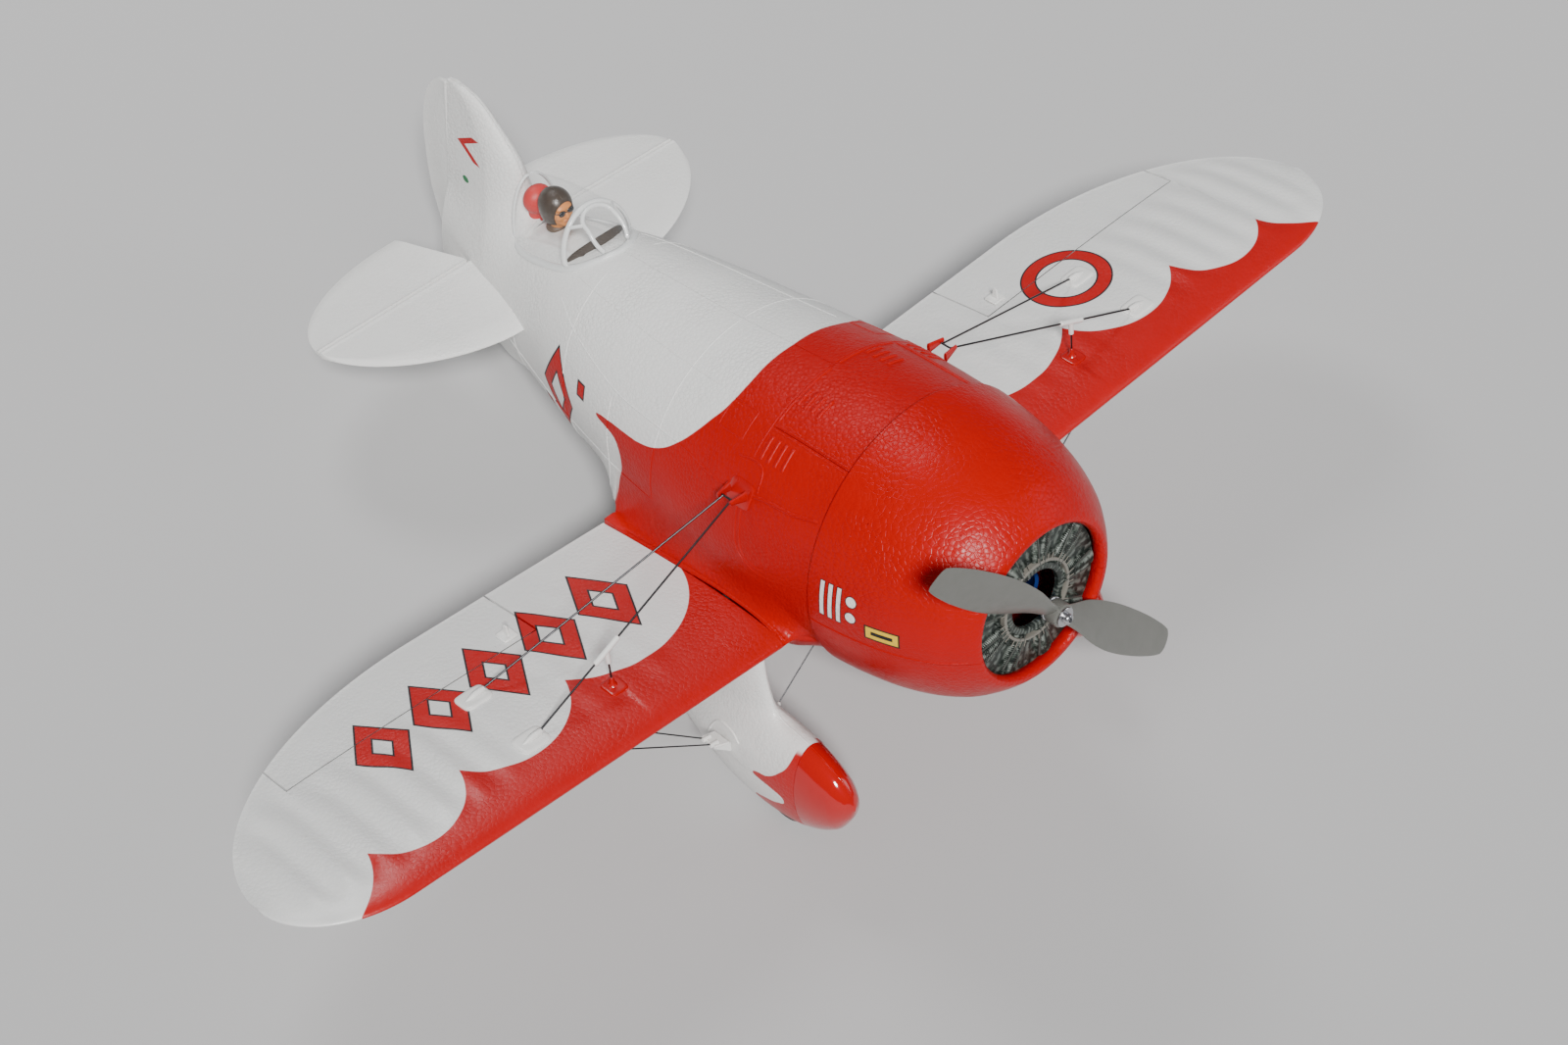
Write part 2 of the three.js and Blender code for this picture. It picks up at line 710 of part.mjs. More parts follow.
function spatRing(y, grow = 0) {
  const at = (column) => through(SPAT.map((row) => [row[0], row[column]]))(y);
  const middle = (at(2) + at(3)) / 2;
  return steps(0, 2 * Math.PI, 14).slice(0, -1).map((a) => [
    SPAN_HALF_GEAR + (at(1) + grow) * Math.sin(a),
    y,
    middle + ((at(2) - at(3)) / 2 + grow) * Math.cos(a),
  ]);
}

// The strut's level sections: [z, front, back, half thickness].
const STRUT = [
  [-15, -36, 66, 10],
  [-50, -38, 56, 8],
  [-85, -48, 50, 9],
  [-105, -62, 48, 14],
];

function strutRing([z, front, back, half]) {
  const side = [[0, 0.15], [0.08, 0.75], [0.3, 1], [0.7, 0.7], [1, 0.12]];
  const left = side.map(([s, t]) => [SPAN_HALF_GEAR + half * t, front + (back - front) * s, z]);
  const right = side.map(([s, t]) => [SPAN_HALF_GEAR - half * t, front + (back - front) * s, z]);
  return [...left, ...right.reverse()];
}

function gearLeg() {
  const spat = loft(SPAT.map(([y]) => y).filter((y) => y >= SPAT_SEAM).map((y) => spatRing(y)));
  const strut = loft(STRUT.map(strutRing));
  const { radius, width, y, z } = MAIN_WHEEL;
  const reach = SPAN_HALF_GEAR;
  const room = radius + 2.5;
  const well = rod([reach - width / 2 - 1.5, y, z], [reach + width / 2 + 1.5, y, z], room, 20);
  const mouth = block([reach - width / 2 - 1.5, y - room, z - 60], [reach + width / 2 + 1.5, y + room, z]);
  const axle = rod([reach - 10, y, z], [reach + 10, y, z], 1.9, 10);
  const leg = cut(join(spat, strut), wingSeat, well, mouth);
  return join(leg, axle);
}

function spatCap() {
  const ys = [-119, -115, -103, -90, SPAT_SEAM - GAP];
  const outer = loft(ys.map((y) => spatRing(y)));
  const inner = loft([-104, -90, SPAT_SEAM + 3].map((y) => spatRing(y, -4)));
  return cut(outer, inner);
}

// Outer bracing: a bracket on the spat's outer side and two wires up to the wing's underside.
function gearBrace() {
  const root = [SPAN_HALF_GEAR + 21.5, -6, -113];
  const tip = [SPAN_HALF_GEAR + 35, -6, -104];
  const bracket = loft([
    [[root[0], -14, -118], [root[0], 4, -118], [root[0], 4, -108], [root[0], -14, -108]],
    [[tip[0], -13, -105.5], [tip[0], 3, -105.5], [tip[0], 3, -102.5], [tip[0], -13, -102.5]],
  ]);
  const front = rod([tip[0] - 3, -9, -105.5], [296, 2, -14.8], WIRE.radius, 6);
  const rear = rod([tip[0] - 3, -1, -105.5], [300, 62, -13.8], WIRE.radius, 6);
  return join(bracket, front, rear);
}

// ---------------------------------------------------------------- flying wires
const lugZ = (x, y) => {
  const share = (y - wingFront(x)) / (wingBack(x) - wingFront(x));
  return chordZ(x) + wingThickness(x) * wingCurve(share) + GAP;
};

function lugPlate(x, y) {
  const z = lugZ(x, y);
  const plate = block([x - 12, y - 9, z - 3], [x + 12, y + 9, z + 1.8]);
  const socket = block([x - 9, y - 1.8, z + 0.5], [x + 3, y + 1.8, z + 4.6]);
  return join(cut(plate, wingSeat), socket);
}

const REAR_LUG_Y = 62;
const wireEnd = (y) => [WIRE.lugX - 8, y, lugZ(WIRE.lugX, y) + 3];
const wireStart = (y) => [WIRE.bracketX + 5, WIRE.bracketY + y, WIRE.bracketZ - 0.5];

function flyingWires() {
  return join(
    rod(wireStart(-4), wireEnd(0), WIRE.radius, 6),
    rod(wireStart(4), wireEnd(REAR_LUG_Y), WIRE.radius, 6),
    rod(wireStart(-5), wireStart(5), WIRE.radius, 6),
    lugPlate(WIRE.lugX, 0),
    lugPlate(WIRE.lugX, REAR_LUG_Y),
  );
}

function wireBracket() {
  const y = WIRE.bracketY;
  const at = [WIRE.bracketX, y, WIRE.bracketZ];
  const shoe = block([at[0] - 14, y - 10, at[2] - 9], [at[0] + 3, y + 10, at[2] + 9]);
  const shell = cut(barrel(-40, 60, 2.4), barrel(-50, 70, GAP));
  const ears = [y - 8.5, y + 8.5].map((middle) =>
    block([at[0] - 6, middle - 1, at[2] - 4], [at[0] + 7, middle + 1, at[2] + 2]),
  );
  return join(shell.intersect(shoe), ...ears.map((ear) => cut(ear, barrel(-50, 70, GAP))));
}

function spreader() {
  const y = 0;
  const foot = lugZ(SPREADER_X, y);
  const share = (SPREADER_X - wireStart(0)[0]) / (wireEnd(0)[0] - wireStart(0)[0]);
  const wireZ = wireStart(0)[2] + (wireEnd(0)[2] - wireStart(0)[2]) * share;
  const wireY = wireStart(-4)[1] + (wireEnd(0)[1] - wireStart(-4)[1]) * share;
  const slope = (wireEnd(0)[2] - wireStart(0)[2]) / (wireEnd(0)[0] - wireStart(0)[0]);
  const plate = block([SPREADER_X - 7, y - 8, foot + 0.4], [SPREADER_X + 7, y + 8, foot + 1.6]);
  const under = wireZ - 3.6;
  const stem = rod([SPREADER_X, wireY, foot + 1], [SPREADER_X, wireY, under + 1], 1.3);
  const saddle = rod(
    [SPREADER_X - 12, wireY, under - 12 * slope],
    [SPREADER_X + 12, wireY, under + 12 * slope],
    2.2,
  );
  return join(plate, stem, saddle);
}

// ---------------------------------------------------------------- radio gear and power
const SERVO_Z = 34;

function standardServo(x) {
  const body = block([x - 6, 196, SERVO_Z - 24], [x + 6, 219, SERVO_Z - 1]);
  const ears = block([x - 6, 191, SERVO_Z - 9], [x + 6, 224, SERVO_Z - 7]);
  const boss = rod([x, 203, SERVO_Z - 2], [x, 203, SERVO_Z + 1.2], 4, 10);
  return join(body, ears, boss);
}

function servoArm(x, side) {
  const hub = rod([x, 203, SERVO_Z + 1.5], [x, 203, SERVO_Z + 4], 3, 10);
  const tip = x + side * SERVO_ARM_LENGTH;
  const [low, high] = [Math.min(x, tip), Math.max(x, tip)];
  return join(hub, block([low, 201.2, SERVO_Z + 2], [high, 204.8, SERVO_Z + 3.5]));
}

const ELEVATOR_SERVO_X = 14;
const RUDDER_SERVO_X = -14;

const elevatorPushrod = () =>
  rod([ELEVATOR_SERVO_X - SERVO_ARM_LENGTH + 1, 201, SERVO_Z + 4.9], [2.2, 391, JOINER_Z - 17.5], 0.9, 6);

const rudderPushrod = () =>
  join(
    rod([RUDDER_SERVO_X - SERVO_ARM_LENGTH, 201, SERVO_Z + 4.9], RUDDER_ROD_BEND, 0.9, 6),
    rod(RUDDER_ROD_BEND, RUDDER_ROD_END, 0.9, 6),
  );

// ---------------------------------------------------------------- assembly
const airframe = new THREE.Group();

function add(name, body, look) {
  const mesh = new THREE.Mesh(geometryOf(body), new THREE.MeshStandardMaterial(look));
  mesh.name = name;
  airframe.add(mesh);
}

function addPair(name, body, look) {
  add(name + "_left", body, look);
  add(name + "_right", mirrored(body), look);
}

const half = fuselageHalf();
add("fuselage_left", half, WHITE);
add("fuselage_right", cut(mirrored(half), rudderRodHole), WHITE);
add("battery_hatch", hatch(), RED);
add("upper_cowl", cowlPart(COWL_SPLIT_Z + GAP / 2, 200), RED);
add("lower_cowl", cowlPart(-200, COWL_SPLIT_Z - GAP / 2), RED);
add("dummy_engine", engineDisc(), BLACK);
add("motor_mount", motorMount(), RED);
add("motor_stator", stator(), STEEL);
add("motor_bell", motorBell(), BLUE_ANODISED);
add("prop_adapter", propAdapter(), STEEL);
add("propeller", propeller(), GREY_NYLON);
add("prop_screw", propScrew(), STEEL);
add("battery", block([-22, -50, -46], [22, 62, -18]), BLACK);
add("speed_controller", block([-17, -20, -62], [17, 45, -50]), BLACK);
add("receiver", block([-13, 110, -40], [13, 155, -26]), BLACK);
add("elevator_servo", standardServo(ELEVATOR_SERVO_X), BLUE_ANODISED);
add("rudder_servo", standardServo(RUDDER_SERVO_X), BLUE_ANODISED);
add("elevator_servo_arm", servoArm(ELEVATOR_SERVO_X, -1), WHITE_PLASTIC);
add("rudder_servo_arm", servoArm(RUDDER_SERVO_X, -1), WHITE_PLASTIC);
add("elevator_pushrod", elevatorPushrod(), STEEL);
add("rudder_pushrod", rudderPushrod(), STEEL);
add("wing_spar", rod([-SPAR.reach, SPAR.y, SPAR.z], [SPAR.reach, SPAR.y, SPAR.z], SPAR.radius), BLACK);
addPair("wing", wing(), WHITE);
addPair("aileron", aileron(), WHITE);
addPair("aileron_horn", aileronHorn(), WHITE_PLASTIC);
addPair("aileron_servo", aileronServo(), BLUE_ANODISED);
addPair("aileron_servo_arm", aileronServoArm(), WHITE_PLASTIC);
addPair("aileron_pushrod", aileronPushrod(), STEEL);
addPair("stabiliser", stabiliser(), WHITE);
addPair("elevator", elevator(), WHITE);
add("elevator_joiner", elevatorJoiner(), STEEL);
add("rudder", rudder(), WHITE);
add("tail_wheel_leg", tailWheelLeg(), STEEL);
add("canopy", canopy(), CLEAR);
add("windshield_frame", windshieldFrame(), WHITE_PLASTIC);
add("cockpit_tub", cockpitTub(), BLACK);
add("pilot", pilot(), finish(0x6b4a2e, 0.6));
addPair("gear_leg", gearLeg(), WHITE);
addPair("spat_cap", spatCap(), RED);
addPair("gear_brace", gearBrace(), WHITE_PLASTIC);
addPair("flying_wires", flyingWires(), DARK_WIRE);
addPair("wire_bracket", wireBracket(), RED);
addPair("wire_spreader", spreader(), WHITE_PLASTIC);

// The aeroplane stands nose up on its two main wheels and its tail wheel. Each wheel is turned so that
// one flat of its tread lies on the ground.
const MAIN_SEGMENTS = 20;
const TAIL_SEGMENTS = 16;
const flatRadius = (radius, segments) => radius * Math.cos(Math.PI / segments);
const axleRise = TAIL_WHEEL.z - MAIN_WHEEL.z;
const wheelbase = TAIL_WHEEL.y - MAIN_WHEEL.y;
const sizeStep =
  flatRadius(MAIN_WHEEL.radius, MAIN_SEGMENTS) - flatRadius(TAIL_WHEEL.radius, TAIL_SEGMENTS);
const GROUND_ANGLE =
  Math.atan2(axleRise, wheelbase) + Math.asin(sizeStep / Math.hypot(axleRise, wheelbase));
const flatDown = (segments) => Math.PI / segments + GROUND_ANGLE;
const mainWheel = wheel(MAIN_WHEEL, SPAN_HALF_GEAR, 2.3, MAIN_SEGMENTS, flatDown(MAIN_SEGMENTS));
addPair("main_wheel", mainWheel, RUBBER);
add("tail_wheel", wheel(TAIL_WHEEL, 0, 1.6, TAIL_SEGMENTS, flatDown(TAIL_SEGMENTS)), RUBBER);
airframe.rotation.x = -GROUND_ANGLE;

// The origin is under the middle of the aeroplane, on the ground.
const aeroplane = new THREE.Group();
aeroplane.add(airframe);
const box = new THREE.Box3().setFromObject(aeroplane, true);
airframe.position.set(0, -(box.min.y + box.max.y) / 2, -box.min.z);

export default aeroplane;
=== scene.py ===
"""A foam radio-controlled racing monoplane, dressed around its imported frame."""

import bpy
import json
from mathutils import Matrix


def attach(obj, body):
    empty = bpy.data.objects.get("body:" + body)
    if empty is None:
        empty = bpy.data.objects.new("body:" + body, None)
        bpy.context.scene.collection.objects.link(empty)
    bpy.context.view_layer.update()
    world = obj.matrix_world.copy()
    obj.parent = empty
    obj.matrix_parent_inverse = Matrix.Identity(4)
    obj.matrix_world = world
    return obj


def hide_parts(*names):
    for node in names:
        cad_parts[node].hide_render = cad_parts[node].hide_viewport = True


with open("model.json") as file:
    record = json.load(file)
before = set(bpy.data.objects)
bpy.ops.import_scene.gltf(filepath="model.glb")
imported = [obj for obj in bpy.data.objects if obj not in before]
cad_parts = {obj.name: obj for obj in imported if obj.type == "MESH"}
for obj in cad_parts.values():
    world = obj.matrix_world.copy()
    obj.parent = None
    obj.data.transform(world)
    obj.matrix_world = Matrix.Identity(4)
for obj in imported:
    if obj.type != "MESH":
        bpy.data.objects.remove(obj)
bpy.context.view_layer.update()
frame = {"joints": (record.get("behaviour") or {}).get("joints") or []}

import json
import math

import bmesh
import bpy
import numpy as np
from mathutils import Matrix, Vector

# ---------------------------------------------------------------- the aeroplane's own frame
# Shapes are drawn in millimetres, level: +X is the left wing, -Y the nose, +Z up. The frame's hatch and
# propeller joints say how that drawing stands in the row's frame.
PROP_Y = -197.0
AXIS_Z = 29.5
joints = {joint["name"]: joint for joint in frame["joints"]}
up = joints["hatch_lift"]["axis"]
TILT = math.atan2(up[1], up[2])
TURN = np.array(Matrix.Rotation(-TILT, 3, "X"))
SHIFT = np.array(joints["prop_spin"]["pos_m"]) - TURN @ np.array([0, PROP_Y, AXIS_Z]) / 1000


def to_row(points):
    return np.asarray(points, float) @ TURN.T / 1000 + SHIFT


# ---------------------------------------------------------------- camera, floor and light
def aim(obj, place, target):
    obj.location = place
    obj.rotation_euler = (Vector(target) - Vector(place)).to_track_quat("-Z", "Y").to_euler()


def add_camera():
    data = bpy.data.cameras.new("camera")
    camera = bpy.data.objects.new("camera", data)
    bpy.context.scene.collection.objects.link(camera)
    right = np.array([0.7217, -0.6868, -0.0865])
    upward = np.array([0.5104, 0.4435, 0.7367])
    back = np.cross(right, upward)
    turn = TURN @ np.stack([right, upward, back], axis=1)
    camera.matrix_world = Matrix.Translation(to_row([-991.7, -1138.3, 1365.7])) @ Matrix(turn.tolist()).to_4x4()
    data.sensor_width = 36.0
    data.lens = 64.74
    data.clip_end = 50.0
    bpy.context.scene.camera = camera


def add_sun(place, target, strength, spread, colour):
    """A wide, even key light that comes from the direction of `place`; `spread` is in degrees."""
    data = bpy.data.lights.new("key", "SUN")
    data.energy = strength
    data.angle = math.radians(spread)
    data.color = colour
    lamp = bpy.data.objects.new("key", data)
    bpy.context.scene.collection.objects.link(lamp)
    aim(lamp, place, target)


def add_light(name, place, target, size, power, colour=(1, 1, 1)):
    data = bpy.data.lights.new(name, "AREA")
    data.shape = "DISK"
    data.size = size
    data.energy = power
    data.color = colour
    lamp = bpy.data.objects.new(name, data)
    bpy.context.scene.collection.objects.link(lamp)
    aim(lamp, place, target)


def add_studio():
    floor_mesh = bpy.data.meshes.new("floor")
    half = 60.0
    corners = [(-half, -half, 0), (half, -half, 0), (half, half, 0), (-half, half, 0)]
    floor_mesh.from_pydata(corners, [], [(0, 1, 2, 3)])
    floor = bpy.data.objects.new("floor", floor_mesh)
    bpy.context.scene.collection.objects.link(floor)
    paint = Paint("floor_paper", rough=0.75)
    grain = paint.noise(0.02, 3)
    paint.colour(paint.blend(grain * 0.4, (0.44, 0.44, 0.445), (0.48, 0.48, 0.48)))
    floor_mesh.materials.append(paint.material)
    world = bpy.data.worlds.new("studio")
    world.use_nodes = True
    world.node_tree.nodes["Background"].inputs["Color"].default_value = (0.9, 0.94, 1, 1)
    world.node_tree.nodes["Background"].inputs["Strength"].default_value = 0.15
    bpy.context.scene.world = world
    add_sun((-1.1, -1.25, 2.15), (0, -0.05, 0.1), 4.8, 11, (1, 0.985, 0.965))
    add_light("fill", (2.2, -1.6, 1.7), (0, 0, 0.1), 1.4, 10, (0.95, 0.97, 1))
    add_light("rim", (0.25, 1.75, 2.3), (0, 0.1, 0.1), 0.9, 22)


# ---------------------------------------------------------------- node maths
class Field:
    """A shader value that can be used in plain sums."""

    def __init__(self, tree, socket):
        self.tree = tree
        self.socket = socket

    def math(self, operation, *others):
        node = self.tree.nodes.new("ShaderNodeMath")
        node.operation = operation
        for i, value in enumerate((self, *others)):
            if isinstance(value, Field):
                self.tree.links.new(value.socket, node.inputs[i])
            else:
                node.inputs[i].default_value = value
        return Field(self.tree, node.outputs[0])

    def __add__(self, other):
        return self.math("ADD", other)

    def __radd__(self, other):
        return self.math("ADD", other)

    def __sub__(self, other):
        return self.math("SUBTRACT", other)

    def __rsub__(self, other):
        return (self * -1) + other

    def __mul__(self, other):
        return self.math("MULTIPLY", other)

    def __rmul__(self, other):
        return self.math("MULTIPLY", other)

    def __truediv__(self, other):
        return self.math("DIVIDE", other)

    def __abs__(self):
        return self.math("ABSOLUTE")

    def least(self, other):
        return self.math("MINIMUM", other)

    def most(self, other):
        return self.math("MAXIMUM", other)

    def root(self):
        return self.math("SQRT")

    def below(self, limit, soft=0.25):
        """1 where the value is under the limit, 0 over it, with an edge `soft` wide."""
        node = self.tree.nodes.new("ShaderNodeMapRange")
        node.interpolation_type = "SMOOTHSTEP"
        self.tree.links.new(self.socket, node.inputs["Value"])
        node.inputs["From Min"].default_value = limit - soft
        node.inputs["From Max"].default_value = limit + soft
        node.inputs["To Min"].default_value = 1.0
        node.inputs["To Max"].default_value = 0.0
        return Field(self.tree, node.outputs["Result"])

    def above(self, limit, soft=0.25):
        return 1 - self.below(limit, soft)

    def curve(self, knots):
        """The value through a smooth curve of (at, value) knots."""
        ats = [k[0] for k in knots]
        values = [k[1] for k in knots]
        node = self.tree.nodes.new("ShaderNodeFloatCurve")
        spread = (self - ats[0]) / (ats[-1] - ats[0])
        self.tree.links.new(spread.socket, node.inputs["Value"])
        line = node.mapping.curves[0]
        low = min(values)
        size = (max(values) - low) or 1.0
        places = [((a - ats[0]) / (ats[-1] - ats[0]), (v - low) / size) for a, v in knots]
        while len(line.points) < len(places):
            line.points.new(0.5, 0.5)
        for handle, place in zip(line.points, places):
            handle.location = place
        node.mapping.update()
        return Field(self.tree, node.outputs["Value"]) * size + low


class Paint:
    """One node material."""

    def __init__(self, name, rough=0.5, metal=0.0):
        self.material = bpy.data.materials.new(name)
        self.material.use_nodes = True
        self.tree = self.material.node_tree
        self.shader = self.tree.nodes["Principled BSDF"]
        self.set("Roughness", rough)
        self.set("Metallic", metal)
        self.spot = None

    def set(self, socket, value):
        self.shader.inputs[socket].default_value = value

    def link(self, field, socket):
        self.tree.links.new(field.socket, self.shader.inputs[socket])

    def colour(self, field):
        self.link(field, "Base Color")

    def roughness(self, field):
        self.link(field, "Roughness")

    def soft(self, weight, radius=(0.004, 0.003, 0.003)):
        """Lets light a little way into the surface; the radius is in metres."""
        self.set("Subsurface Weight", weight)
        self.set("Subsurface Radius", radius)

    def coat(self, weight, rough):
        self.set("Coat Weight", weight)
        self.set("Coat Roughness", rough)

    def red_foam(self):
        """The foam's red, a little uneven."""
        return self.blend(self.noise(30, 2) * 0.5, RED, DEEP_RED)

    def white_foam(self):
        """The foam's white, a little uneven."""
        return self.blend(self.noise(30, 3) * 0.45, WHITE, (0.67, 0.67, 0.66))

    def place(self):
        """X, Y and Z in the aeroplane's own level frame, in millimetres."""
        if self.spot is None:
            where = self.tree.nodes.new("ShaderNodeTexCoord")
            level = self.tree.nodes.new("ShaderNodeMapping")
            level.inputs["Scale"].default_value = (1000, 1000, 1000)
            level.inputs["Rotation"].default_value = (TILT, 0, 0)
            level.inputs["Location"].default_value = (TURN.T @ SHIFT) * -1000
            self.tree.links.new(where.outputs["Object"], level.inputs["Vector"])
            parts = self.tree.nodes.new("ShaderNodeSeparateXYZ")
            self.tree.links.new(level.outputs["Vector"], parts.inputs["Vector"])
            self.spot = level.outputs["Vector"]
            self.axes = [Field(self.tree, parts.outputs[i]) for i in range(3)]
        return self.axes

    def texture(self, kind, size, output, **settings):
        self.place()
        node = self.tree.nodes.new(kind)
        for key, value in settings.items():
            if hasattr(node, key):
                setattr(node, key, value)
            else:
                node.inputs[key].default_value = value
        node.inputs["Scale"].default_value = 1 / size
        self.tree.links.new(self.spot, node.inputs["Vector"])
        return Field(self.tree, node.outputs[output])

    def noise(self, size, detail=2.0):
        return self.texture("ShaderNodeTexNoise", size, "Fac", Detail=detail)

    def cells(self, size, feature="F1"):
        return self.texture("ShaderNodeTexVoronoi", size, "Distance", feature=feature)

    def blend(self, mask, a, b):
        node = self.tree.nodes.new("ShaderNodeMix")
        node.data_type = "RGBA"
        factor = next(s for s in node.inputs if s.name == "Factor" and s.type == "VALUE")
        ends = [s for s in node.inputs if s.type == "RGBA"]
        if isinstance(mask, Field):
            self.tree.links.new(mask.socket, factor)
        else:
            factor.default_value = mask
        for socket, value in zip(ends, (a, b)):
            if isinstance(value, Field):
                self.tree.links.new(value.socket, socket)
            else:
                socket.default_value = (*value, 1)
        out = next(s for s in node.outputs if s.type == "RGBA")
        return Field(self.tree, out)

    def bump(self, height, depth=1.0):
        """`height` is in millimetres."""
        node = self.tree.nodes.new("ShaderNodeBump")
        node.inputs["Distance"].default_value = 0.001
        node.inputs["Strength"].default_value = depth
        self.tree.links.new(height.socket, node.inputs["Height"])
        self.tree.links.new(node.outputs["Normal"], self.shader.inputs["Normal"])


# ---------------------------------------------------------------- shapes
# A shape is (points, faces), in the drawing's millimetres.
def through(rows):
    """A smooth curve through rows of [at, value, value, ...]."""
    table = np.array(rows, float)
    at = table[:, 0]
    value = table[:, 1:]
    before = np.maximum(np.arange(len(at)) - 1, 0)
    after = np.minimum(np.arange(len(at)) + 1, len(at) - 1)
    slope = (value[after] - value[before]) / (at[after] - at[before])[:, None]

    def curve(x):
        x = np.clip(np.atleast_1d(np.asarray(x, float)), at[0], at[-1])
        i = np.clip(np.searchsorted(at, x) - 1, 0, len(at) - 2)
        width = at[i + 1] - at[i]
        t = ((x - at[i]) / width)[:, None]
        s = t * t * (3 - 2 * t)
        lead = slope[i] * width[:, None] * t * (1 - t) ** 2
        trail = slope[i + 1] * width[:, None] * t * t * (1 - t)
        return value[i] + (value[i + 1] - value[i]) * s + lead - trail

    return curve


def round_turns(count):
    """Even turns round a circle, in radians."""
    return np.linspace(0, 2 * math.pi, count, endpoint=False)


def edge_shares(count):
    """Shares from 0 to 1 that lie closer together at both ends."""
    return (1 - np.cos(np.linspace(0, math.pi, count))) / 2


def ease(t):
    t = np.clip(t, 0, 1)
    return t * t * (3 - 2 * t)


def join(*shapes):
    points = []
    faces = []
    start = 0
    for shape in shapes:
        points.append(np.asarray(shape[0], float))
        faces += [[k + start for k in face] for face in shape[1]]
        start += len(shape[0])
    return np.concatenate(points), faces


def mirrored(shape):
    return shape[0] * [-1, 1, 1], [face[::-1] for face in shape[1]]


def loft(rings, ends=True, loop=False, closed=True):
    """Skin over rings that all have the same number of points."""
    rings = np.asarray(rings, float)
    rows, count = rings.shape[:2]
    faces = []
    for i in range(rows if loop else rows - 1):
        j = (i + 1) % rows
        for k in range(count if closed else count - 1):
            m = (k + 1) % count
            faces.append([i * count + k, i * count + m, j * count + m, j * count + k])
    if ends and not loop:
        faces.append(list(range(count))[::-1])
        faces.append([(rows - 1) * count + k for k in range(count)])
    return rings.reshape(-1, 3), faces


def tube(path, radius, sides=12):
    """A round wire along a path; `radius` is one number or one for each point."""
    path = np.asarray(path, float)
    radii = np.broadcast_to(radius, len(path))
    heading = np.gradient(path, axis=0)
    heading /= np.linalg.norm(heading, axis=1)[:, None]
    side = np.cross(heading[0], [0.0, 0.0, 1.0])
    if np.linalg.norm(side) < 0.1:
        side = np.cross(heading[0], [1.0, 0.0, 0.0])
    rings = []
    for place, along, r in zip(path, heading, radii):
        side = side - along * (side @ along)
        side /= np.linalg.norm(side)
        other = np.cross(along, side)
        turns = round_turns(sides)[:, None]
        rings.append(place + r * (np.cos(turns) * side + np.sin(turns) * other))
    return loft(rings)


def rod(a, b, radius, sides=16, chamfer=0.25):
    """A straight rod with eased ends."""
    a = np.asarray(a, float)
    b = np.asarray(b, float)
    step = (b - a) / np.linalg.norm(b - a) * chamfer
    return tube([a, a + step, b - step, b], [radius - chamfer, radius, radius, radius - chamfer], sides)


def lathe(profile, centre=(0, 0, AXIS_Z), axis="Y", segments=96, loop=False):
    """A turned shape; the profile is [radius, along] pairs."""
    turns = round_turns(segments)
    rings = []
    for radius, along in profile:
        u = radius * np.cos(turns)
        v = radius * np.sin(turns)
        w = np.full(segments, along)
        rings.append(np.stack([u, w, v] if axis == "Y" else [w, u, v] if axis == "X" else [u, v, w], axis=1))
    points, faces = loft(rings, ends=not loop, loop=loop)
    return points + centre, faces


def from_bmesh(bm):
    bm.verts.index_update()
    points = np.array([v.co for v in bm.verts], float).reshape(-1, 3)
    faces = [[v.index for v in f.verts] for f in bm.faces]
    bm.free()
    return points, faces


def to_bmesh(shape):
    bm = bmesh.new()
    verts = [bm.verts.new(p) for p in shape[0]]
    for face in shape[1]:
        if len(set(face)) > 2:
            try:
                bm.faces.new([verts[k] for k in face])
            except ValueError:
                pass
    return bm


def eased(shape, width, segments=2, angle=30):
    """The shape with its sharp edges rounded."""
    bm = to_bmesh(shape)
    bmesh.ops.remove_doubles(bm, verts=bm.verts, dist=1e-4)
    bmesh.ops.recalc_face_normals(bm, faces=bm.faces)
    limit = math.radians(angle)
    edges = [e for e in bm.edges if len(e.link_faces) == 2 and e.calc_face_angle(0) > limit]
    bmesh.ops.bevel(bm, geom=edges, offset=width, segments=segments, affect="EDGES", clamp_overlap=True)
    return from_bmesh(bm)


def block(low, high, ease_by=0.6, segments=2):
    (x0, y0, z0), (x1, y1, z1) = low, high
    rings = [[[x, y0, z0], [x, y1, z0], [x, y1, z1], [x, y0, z1]] for x in (x0, x1)]
    return eased(loft(rings), ease_by, segments)


def sliced(shape, origin, normal, clear=True):
    """The shape cut by a plane; the side that the normal points to goes if `clear` is set."""
    bm = to_bmesh(shape)
    geom = list(bm.verts) + list(bm.edges) + list(bm.faces)
    bmesh.ops.bisect_plane(bm, geom=geom, dist=1e-5, plane_co=origin, plane_no=normal, clear_outer=clear)
    return from_bmesh(bm)


def part_of(shape, keep):
    """The faces whose middles `keep` picks."""
    points, faces = shape
    middles = np.array([points[face].mean(axis=0) for face in faces])
    chosen = [faces[i] for i in np.nonzero(keep(middles))[0]]
    used = sorted({k for face in chosen for k in face})
    index = {old: new for new, old in enumerate(used)}
    return points[used], [[index[k] for k in face] for face in chosen]


def modified(shape, kind, **settings):
    """The shape after a Blender modifier."""
    mesh = bpy.data.meshes.new("scratch")
    mesh.from_pydata(shape[0].tolist(), [], shape[1])
    obj = bpy.data.objects.new("scratch", mesh)
    bpy.context.scene.collection.objects.link(obj)
    modifier = obj.modifiers.new("scratch", kind)
    for key, value in settings.items():
        setattr(modifier, key, value)
    bpy.context.view_layer.update()
    evaluated = obj.evaluated_get(bpy.context.evaluated_depsgraph_get())
    result = evaluated.to_mesh()
    points = np.array([v.co for v in result.vertices], float).reshape(-1, 3)
    faces = [list(p.vertices) for p in result.polygons]
    evaluated.to_mesh_clear()
    bpy.data.objects.remove(obj)
    bpy.data.meshes.remove(mesh)
    return points, faces


